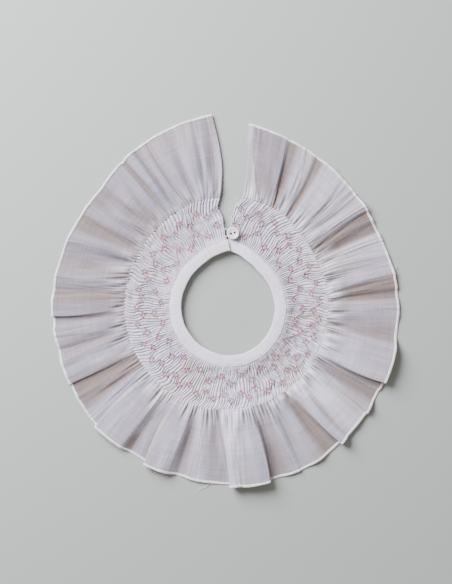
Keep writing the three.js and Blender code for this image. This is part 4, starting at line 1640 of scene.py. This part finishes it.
    def run_out(self, pleat: Array, depth: Array, steep: Array) -> tuple[Array, Array, Array]:
        """Height of the pleats as they leave the smocking, join in twos and threes and die out.

        Args:
            pleat: pleat number of each column.
            depth: depth in the ruffle, one row a depth.
            steep: how high the gathers stand at each point.

        Returns:
            Millimetres to add to the folds, a share from 0 in the gaps to 1 on the ridges that dies out, and
            how deep each point lies in a sharp crease. The last two give painted highlight on the ridges and
            painted shade in the creases.
        """
        profile = self.pleats.profile(pleat)
        tall = self.pleats.of(self.pleats.heights, pleat)
        relief = self.yoke.relief_at_seam
        under = 0.12 * (1 - ease(depth, 0.0, 0.015))
        at_seam = self.yoke.crest - relief - self.valley - self.lift_at_yoke + relief * profile * tall - under
        far = self.pleats.of(self.pleats.run_out, pleat)
        single = 1.5 * tall * ease(1 - depth / far, 0.0, 1.0) * (profile - 0.5)
        group = pleat / 3.7 + 0.6 * wander(pleat / 4.5, 0.0, Seed.BUNDLES)
        strength = 1.0 + 0.75 * wander(pleat / 7.0, 2.0, Seed.BUNDLE_STRENGTH)
        ends = 0.34 + 0.2 * wander(pleat / 5.0, 5.0, Seed.BUNDLE_ENDS)
        bundle = 2.8 * strength * (np.abs(np.sin(np.pi * group)) ** 0.6 - 0.62)
        starts = np.where(bundle > 0, ease(depth, 0.0, 0.05), ease(depth, 0.0, 0.2))
        bundle = bundle * starts * (1 - ease(depth / ends, 0.1, 1.0)) ** 1.3
        held = 1 - ease(depth, 0.0, 0.1)
        slit = np.round(pleat).astype(int)
        sharp = self.pleats.creases[slit] * bell(pleat - slit, 0.3)
        sharp = sharp * (1 - ease(depth / self.pleats.crease_runs[slit], 0.2, 1.0)) * ease(depth, 0.0, 0.02)
        ridges = ease(0.45 + 0.45 * bundle + 0.6 * single - 0.6 * sharp) * (1 - ease(depth / ends, 0.1, 1.4))
        risen = steep * (single + bundle - 1.3 * sharp)
        return mix(risen, at_seam, held), mix(ridges, 0.15 + 0.8 * profile, held), sharp

    @staticmethod
    def crumple(place: Array, depth: Array) -> Array:
        """Small soft unevenness of washed voile, in millimetres."""
        along = wander(place * 1.7, depth * 2.2, Seed.CRUMPLE) * 0.4
        fine = wander(place * 5.5, depth * 6.0, Seed.FINE_CRUMPLE) * 0.15
        return (along + fine) * ease(depth, 0.05, 0.5)

    def doubled(self, place: Array, angle: Array, radius: Array, last: int) -> Array:
        """Where the cloth is turned back on itself beside the opening.

        Args:
            place: the columns' places.
            angle: of each point.
            radius: of each point.
            last: number of the last key line.

        Returns:
            1 where it is double, 0 elsewhere.
        """
        right = ease(self.turned_back(radius) - angle, -0.15, 0.15)
        return np.maximum(right, ease(place, last + 0.75, last + 1.0))

    @staticmethod
    def turned_back(radius: Array) -> Array:
        """Angle to which the right edge is turned back, at each radius."""
        return np.interp(radius, (103, 107.5, 121.6, 140, 154, 175), (17, 15, 12, 9.6, 8.4, 8.0))

    def hem(self, grid: ClothGrid) -> Thing:
        """Roll the hem along the cloth's outer edge.

        Args:
            grid: the cloth.

        Returns:
            The hem.
        """
        edge, normal = grid.points[-1], grid.normals()[-1]
        outward = unit((edge - np.array([*self.plan.middle, 0.0])) * (1, 1, 0))
        outward = unit(outward - normal * np.einsum("ij,ij->i", outward, normal)[:, None])
        run = run_along(edge) / MM
        wide = self.hem_width / 2 * MM * (1 + 0.12 * wander(run / 6.0, 0.0, Seed.HEM_WIDE))
        tall = self.hem_height / 2 * MM * (1 + 0.15 * wander(run / 4.0, 7.0, Seed.HEM_TALL))
        cosine, sine = round_steps(12)
        rings = (
            (edge - outward * wide[:, None])[:, None]
            + cosine[None, :, None] * outward[:, None] * wide[:, None, None]
            + sine[None, :, None] * normal[:, None] * tall[:, None, None]
        )
        rings[..., 2] = np.maximum(rings[..., 2], HEM_CLEAR)
        return capped_tube("rolled_hem", rings, 0.004)

    def build(self, cloth: Material, hem: Material, thread: Material) -> list[Thing]:
        """Make the ruffle, its hem and its stitching.

        Args:
            cloth: the voile.
            hem: the rolled hem's material.
            thread: the sewing thread's.

        Returns:
            The pieces, the cloth first.
        """
        grid = self.grid()
        voile = dress(cloth_shell("ruffle_voile", grid, self.thickness * MM), cloth, ["ruffle"])
        LOG.info("ruffle_voile: %.4f m2 on one side, %d columns", grid.area(), grid.points.shape[1])
        rolled = dress(self.hem(grid), hem)
        lifted = grid.points + grid.normals() * 0.12 * MM
        place = self.columns(self.key_lines())
        seams = [lifted[2:-1, int(np.searchsorted(place, at))] for at in (place[0] + 0.84, place[-1] - 0.84)]
        seam = ThreadTree(ThreadShape.STITCHES, radius=0.00017, pitch=0.0021, length=0.0018)
        edges = dress(seam.sew("opening_stitching", seams, thread))
        whip = ThreadTree(ThreadShape.STITCHES, radius=0.00014, pitch=0.0033, length=0.0018)
        inside = grid.points[-1] + grid.normals()[-1] * 0.1 * MM
        line = inside - unit(grid.points[-1] - grid.points[-3]) * 2.1 * MM
        line[:, 2] = np.maximum(line[:, 2], 0.3 * MM)
        return [voile, rolled, edges, dress(whip.sew("hem_stitching", [line], thread))]


# ---------------------------------------------------------------- neck band


@dataclass
class NeckBand:
    """The folded band that binds the pleats, its left end lapped on its right end.

    Attributes:
        plan: the collar's plan.
        underside: height of its underside.
        thickness: through the folded band.
        edge: radius of its rounded edges.
        crown: how far its upper side is raised in the middle.
        columns: sections along it.
        stitch_in: distance of the stitching from its outer edge.
        strip: length of the flat band in metres, for its weave.
        right_end: angle of its right end.
        left_end: angles of its left end at the neck and at its outer edge.
    """

    plan: CollarPlan
    underside: float = 4.6
    thickness: float = 2.0
    edge: float = 0.85
    crown: float = 0.22
    columns: int = 900
    stitch_in: float = 1.0
    strip: float = 0.34
    right_end: float = -7.0
    left_end: tuple = (361.5, 359.0)

    def section(self) -> tuple[Array, Array]:
        """Outline of the band: how far out and how far up.

        Returns:
            Millimetres out from the neck and up from the underside.
        """
        width, tall, edge = self.plan.band_width, self.thickness, self.edge
        quarter = np.linspace(0, math.pi / 2, 5)
        out_in = edge - edge * np.cos(quarter)
        up = tall - edge + edge * np.sin(quarter)
        across = np.linspace(edge, width - edge, 13)[1:-1]
        out = np.concatenate([out_in, across, width - out_in[::-1]])
        top = np.concatenate([up, np.full(11, tall), up[::-1]])
        low_out = np.concatenate([width - out_in, np.linspace(width - edge, edge, 5)[1:-1], out_in[::-1]])
        low_up = np.concatenate([tall - up, np.zeros(3), (tall - up)[::-1]])
        return np.concatenate([out, low_out[1:-1]]), np.concatenate([top, low_up[1:-1]])

    def rings(self) -> Array:
        """Sections of the band from its right end to its left end.

        Returns:
            Sections x points x 3, in metres.
        """
        out, up = self.section()
        share = np.linspace(0, 1, self.columns + 1)[:, None]
        width = self.plan.band_width
        angle = mix(self.right_end, mix(*self.left_end, out / width)[None, :], share)
        run = angle * 0.9
        upper = ease(up, self.thickness * 0.4, self.thickness)[None, :]
        lift = self.crown * np.sin(np.pi * np.clip(out / width, 0, 1))[None, :] * upper
        pull = bell(out - (width - self.stitch_in), 0.55)[None, :] * upper
        puckers = wander(run / 2.3, 0.0, Seed.PUCKERS) * np.exp(-((width - out) / 2.6))[None, :]
        soft = 0.10 * wander(run / 9.0, (out / 3.2)[None, :], Seed.BAND_SOFT)
        soft = soft + 0.05 * wander(run / 3.0, out[None, :] / 1.5, Seed.BAND_FINE)
        height = self.underside + self.plan.lap_shift(angle) + up[None, :] + lift
        height = height + upper * (soft + 0.2 * puckers - 0.36 * pull)
        wavy = 0.22 * wander(run / 7.0, 3.0, Seed.BAND_WAVY)
        wavy = wavy + 0.12 * wander(run / 2.4, 9.0, Seed.BAND_EDGE) * (out > width / 2)[None, :]
        radius = self.plan.neck(angle) + out[None, :] + wavy
        return self.plan.spot(angle, radius, height)

    def build(self, cloth: Material, thread: Material) -> list[Thing]:
        """Make the band and the stitching along its outer edge.

        Args:
            cloth: the band's cloth.
            thread: the sewing thread's material.

        Returns:
            The band and its stitching.
        """
        out, _ = self.section()
        rings = self.rings()
        run = np.linspace(0, self.strip, self.columns + 1)
        thread_at = paired(run[:, None], out * MM).reshape(-1, 2)
        tones = {"shade": np.zeros(len(thread_at)), "doubled": np.ones(len(thread_at))}
        band = dress(capped_tube("band_voile", rings, 1.0, thread_at, tones), cloth, ["neck_band"])
        nearest = int(np.argmin(np.abs(out[: len(out) // 2 + 2] - (self.plan.band_width - self.stitch_in))))
        line = rings[4:-4, nearest] + np.array([0.0, 0.0, 0.16 * MM])
        tree = ThreadTree(ThreadShape.STITCHES, radius=0.00025, pitch=0.0019, length=0.0018)
        return [band, dress(tree.sew("band_stitching", [line], thread))]


# ---------------------------------------------------------------- fastening


@dataclass
class Fastening:
    """The shell button, its wrapped shank and the thread loop.

    Attributes:
        plan: the collar's plan.
        radius: of the button.
        thickness: of the button.
        hole: radius of a hole.
        spacing: between the holes' middles.
        turn: of the line through the holes, in degrees.
        ring: radius of the loop round the shank.
        strand: radius of one strand of the loop.
    """

    plan: CollarPlan
    radius: float = 5.7
    thickness: float = 2.2
    hole: float = 1.05
    spacing: float = 3.7
    turn: float = 15.0
    ring: float = 2.3
    strand: float = 0.26

    @staticmethod
    def seat() -> Array:
        """Middle of the button's underside, in metres."""
        middle = solid_middle("button")
        return np.array([middle[0], middle[1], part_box("button")[0][2]])

    @staticmethod
    def lathe(name: str, profile: Sequence[tuple[float, float]], turns: int) -> Thing:
        """Turn a profile round the upright axis.

        Args:
            name: the object's name.
            profile: distance out and height, in millimetres, from the axis above to the axis below.
            turns: sections round the axis.

        Returns:
            The closed solid, round the origin.
        """
        cosine, sine = round_steps(turns)
        out, up = np.hsplit(np.array(profile[1:-1], float) * MM, 2)
        return capped_tube(name, np.stack(np.broadcast_arrays(out * cosine, out * sine, up), axis=-1))

    def button(self) -> Thing:
        """Turn the button and drill its holes.

        Returns:
            The button.
        """
        r, t = self.radius, self.thickness
        rim = [(r - 0.55 + 0.55 * math.sin(a), t - 0.55 + 0.55 * math.cos(a)) for a in np.linspace(0, 1.57, 7)]
        dish = [(0.02, t - 0.62), (1.4, t - 0.62), (2.8, t - 0.60), (3.5, t - 0.5), (3.95, t - 0.26), (4.3, t - 0.08)]
        under = [(r, 0.75), (r - 0.12, 0.4), (r - 0.4, 0.12), (r - 0.9, 0.0), (3.0, 0.0), (0.02, 0.0)]
        disc = self.lathe("button_shell", [(0, t - 0.62), *dish, (4.7, t), *rim[1:], *under, (0, 0)], 96)
        for side in (-1, 1):
            flare = [(1.35, 3), (1.3, t - 0.55), (1.1, t - 0.75), (self.hole, t - 0.9), (self.hole, -1)]
            drill = self.lathe("drill", [(0, 3), *flare, (0, -1)], 40)
            turn = math.radians(self.turn)
            shift = side * self.spacing / 2 * MM
            drill.location = (shift * math.cos(turn), shift * math.sin(turn), 0)
            bpy.context.view_layer.update()
            cut = disc.modifiers.new("hole", "BOOLEAN")
            cut.object, cut.operation, cut.solver = drill, "DIFFERENCE", "EXACT"
            apply(disc, cut)
            bpy.data.objects.remove(drill)
        move(disc, lambda places: places + self.seat())
        disc.data.shade_smooth()
        disc.data.set_sharp_from_angle(angle=math.radians(40))
        return disc

    def shank(self) -> tuple[Thing, Thing]:
        """Wind the sewing thread under the button, round the strands that come down from its holes.

        Returns:
            The wound thread and the strands.
        """
        low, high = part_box("button_shank")
        middle = solid_middle("button_shank")
        turns, wire = 5, 0.16
        a = np.linspace(0, 2 * math.pi * turns, 34 * turns)
        z = np.linspace(low[2] + wire * MM, high[2] - wire * MM, len(a))
        reach = (1.2 - 2 * wire) * MM + wire * MM
        coil = np.stack([reach * np.cos(a), reach * np.sin(a), z], axis=1) + middle * (1, 1, 0)
        wound = round_tube("shank_thread", coil, wire * MM, 8)
        tall = ((high[2] - low[2]) / MM) / 2
        head = (self.hole + self.spacing / 2) * 1.02
        rows = [(1.0, -tall), (1.05, 0), (1.0, tall - 1.7), (head, tall - 0.95), (head, tall - 0.85), (1.0, tall)]
        # The core, with a head right under the holes, is drawn in near-black thread as painted shadow in the holes.
        solid = self.lathe("shank_core", [(0, -tall), *rows, (0, tall)], 28)
        turn = math.radians(self.turn)
        along, across = np.array([math.cos(turn), math.sin(turn), 0]), np.array([-math.sin(turn), math.cos(turn), 0])

        def flattened(places: Array) -> Array:
            """Press the head flat, so that it reaches from hole to hole only, and seat it."""
            side = places @ across * np.where(places[:, 2] > (tall - 1.2) * MM, 1.5 / head, 1.0)
            return (places @ along)[:, None] * along + side[:, None] * across + places * (0, 0, 1) + middle

        move(solid, flattened)
        return wound, solid

    def loop(self) -> Thing:
        """Twist the loop's strands round its path.

        Returns:
            The loop.
        """
        seat = self.seat()
        level = solid_middle("button_loop")[2]

        def ring(turn: float) -> Array:
            """Place on the ring round the shank."""
            a = math.radians(turn)
            return np.array([seat[0] + self.ring * MM * math.cos(a), seat[1] + self.ring * MM * math.sin(a), level])

        def foot(radius: float) -> Array:
            """Place where an end is sewn to the left edge."""
            place = self.plan.spot(float(self.plan.left_edge(radius)) - 1.3, radius, 0.0)
            place[2] = level
            return place

        knots = [foot(75.2), (foot(74.2) + ring(120)) / 2, *[ring(t) for t in (120, 50, 0, -50, -120)],
                 (foot(67.6) + ring(-120)) / 2, foot(66.6)]
        knots = np.array([2 * knots[0] - knots[1], *knots, 2 * knots[-1] - knots[-2]])
        path = []
        for i in range(1, len(knots) - 2):
            p0, p1, p2, p3 = knots[i - 1 : i + 3]
            for s in np.linspace(0, 1, 14, endpoint=False):
                path.append(0.5 * (2 * p1 + (p2 - p0) * s + (2 * p0 - 5 * p1 + 4 * p2 - p3) * s**2
                                   + (3 * p1 - p0 - 3 * p2 + p3) * s**3))
        path = np.array([*path, knots[-2]])
        side = np.cross(unit(np.gradient(path, axis=0)), (0.0, 0.0, 1.0))
        strands = []
        for k in range(3):
            a = run_along(path) / MM * 2 * math.pi / 2.2 + k * 2 * math.pi / 3
            offset = np.cos(a)[:, None] * side + np.sin(a)[:, None] * np.array([0.0, 0.0, 1.0])
            strands.append(round_tube(f"strand_{k}", path + offset * 0.24 * MM, self.strand * MM, 7))
        return joined("loop_thread", strands)

    def build(self, shell: Material, thread: Material, dark: Material) -> list[Thing]:
        """Make the button, shank and loop.

        Args:
            shell: the button's material.
            thread: the threads' material.
            dark: near-black, for the strands that show in the button's holes, as painted shadow there.

        Returns:
            The pieces.
        """
        wound, core = self.shank()
        return [
            dress(self.button(), shell, ["button"]),
            dress(wound, thread, ["button_shank"]),
            dress(core, dark),
            dress(self.loop(), thread, ["button_loop"]),
        ]


@dataclass
class LooseEnds:
    """Short ends of sewing thread at the hem and the opening.

    Attributes:
        plan: the collar's plan.
        radius: of the thread.
        ends: each end's places as distance across and along from the middle of the neck, and height.
    """

    plan: CollarPlan
    radius: float = 0.18
    ends: tuple = (
        ((-73.5, -149.0, 1.2), (-71.6, -156.1, 0.5), (-63.8, -160.8, 0.2), (-54.5, -156.9, 0.6), (-52.0, -153.5, 1.2)),
        ((-18.6, -164.6, 1.2), (-20.8, -168.0, 0.4), (-25.8, -169.2, 0.2), (-30.3, -173.3, 0.2)),
        ((-8.0, -165.5, 1.0), (-6.6, -167.0, 0.3), (-5.8, -168.4, 0.2)),
        ((18.5, 158.6, 2.0), (18.2, 155.2, 2.6), (17.4, 153.5, 2.8)),
        ((8.6, 99.4, 3.4), (7.6, 101.6, 3.9), (8.4, 103.2, 3.6)),
        ((2.4, 90.6, 3.8), (1.2, 92.4, 3.4), (1.8, 93.8, 3.0)),
        ((99.8, 130.4, 2.0), (101.4, 131.6, 1.6), (102.2, 130.2, 1.2)),
        ((156.4, 37.0, 1.6), (157.6, 38.4, 1.0), (157.2, 40.0, 0.6)),
    )

    def build(self, thread: Material) -> Thing:
        """Lay the ends as fine threads.

        Args:
            thread: the sewing thread's material.

        Returns:
            The threads.
        """
        lines = []
        for end in self.ends:
            given = np.array(end, float) * MM + np.array([*self.plan.middle, 0.0])
            at = np.arange(len(given))
            fine = np.linspace(0, len(given) - 1, 6 * len(given))
            smooth = np.stack([np.interp(fine, at, given[:, axis]) for axis in range(3)])
            lines.append(soften(smooth, 5).T)
        tree = ThreadTree(ThreadShape.CONTINUOUS, self.radius * MM)
        return dress(tree.sew("loose_threads", lines, thread))


# ---------------------------------------------------------------- studio


@dataclass
class Studio:
    """A pale floor, a soft window-like key light from the upper left and an overhead camera.

    Attributes:
        plan: the collar's plan.
        distance: of the camera over the table, in metres.
        aside: the camera's place from the middle of the neck, across and along, in metres.
        lens: in millimetres on a sensor 36 mm tall.
        key_power: of the key light.
        key_colour: its colour.
        key_size: how wide it is, in metres.
        key_distance: from the floor's middle, in metres.
        fill: strength of the light all round.
        fill_colour: its colour.
    """

    plan: CollarPlan
    distance: float = 1.521
    aside: tuple = (-0.00243, 0.01496)
    lens: float = 100.0
    key_power: float = 81.5
    key_colour: tuple = (0.975, 0.97, 1.1)
    key_size: float = 1.15
    key_distance: float = 1.5
    fill: float = 0.39
    fill_colour: tuple = (1.0, 0.955, 0.955, 1.0)

    @staticmethod
    def floor() -> None:
        """Lay the floor, 5 metres wide."""
        points = np.array([(-2.5, -2.5, 0), (2.5, -2.5, 0), (2.5, 2.5, 0), (-2.5, 2.5, 0)])
        ground = mesh_object("floor", points, np.array([[0, 1, 2, 3]]))
        w = Weave("pale_floor")
        place = w.node("TexCoord").outputs["Object"]
        colour = w.blend(w.noise(place, 300.0), rgba(168, 173, 164), rgba(173, 178, 169))
        ground.data.materials.append(w.finish(w.first("BsdfPrincipled", {"Base Color": colour, "Roughness": 0.9})))

    def lights(self) -> None:
        """Hang the key light and set the light all round."""
        world = bpy.data.worlds.new("studio")
        bpy.context.scene.world = world
        world.use_nodes = True
        back = world.node_tree.nodes["Background"]
        back.inputs[0].default_value = self.fill_colour
        back.inputs[1].default_value = self.fill
        data = bpy.data.lights.new("key", "AREA")
        data.shape, data.size, data.energy, data.color = "DISK", self.key_size, self.key_power, self.key_colour
        lamp = linked("key", data)
        way = unit(np.array([-0.62, 0.62, 0.62]))
        lamp.location = tuple(way * self.key_distance)
        lamp.rotation_euler = (math.acos(way[2]), 0.0, math.atan2(way[1], way[0]) + math.pi / 2)

    def camera(self) -> None:
        """Set the camera straight over the collar."""
        data = bpy.data.cameras.new("overhead")
        data.lens, data.sensor_fit, data.sensor_height = self.lens, "VERTICAL", 36.0
        data.clip_end = 10.0
        view = linked("overhead", data)
        x, y = self.plan.middle
        view.location = (x + self.aside[0], y + self.aside[1], self.distance)
        bpy.context.scene.camera = view


# ---------------------------------------------------------------- the collar


def main() -> None:
    """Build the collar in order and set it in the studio."""
    logging.basicConfig(level=logging.INFO, format="%(name)s: %(message)s")
    voile, band_cloth, hem_cloth = (finish.material() for finish in CLOTHS)
    threads = {name: finish.material() for name, finish in THREADS.items()}

    plan, pleats = CollarPlan(), Pleats()
    studio = Studio(plan)
    studio.camera()
    NeckBand(plan).build(band_cloth, threads["white"])
    yoke = SmockedYoke(plan, pleats)
    smocked = yoke.build(voile, threads)
    ruffle = Ruffle(plan, pleats, yoke).build(voile, hem_cloth, threads["white"])
    Fastening(plan).build(ShellFinish().material(), threads["cream"], threads["wear_and_shadow"])
    LooseEnds(plan).build(threads["cream"])

    studio.floor()
    studio.lights()


if __name__ == "__main__":
    main()
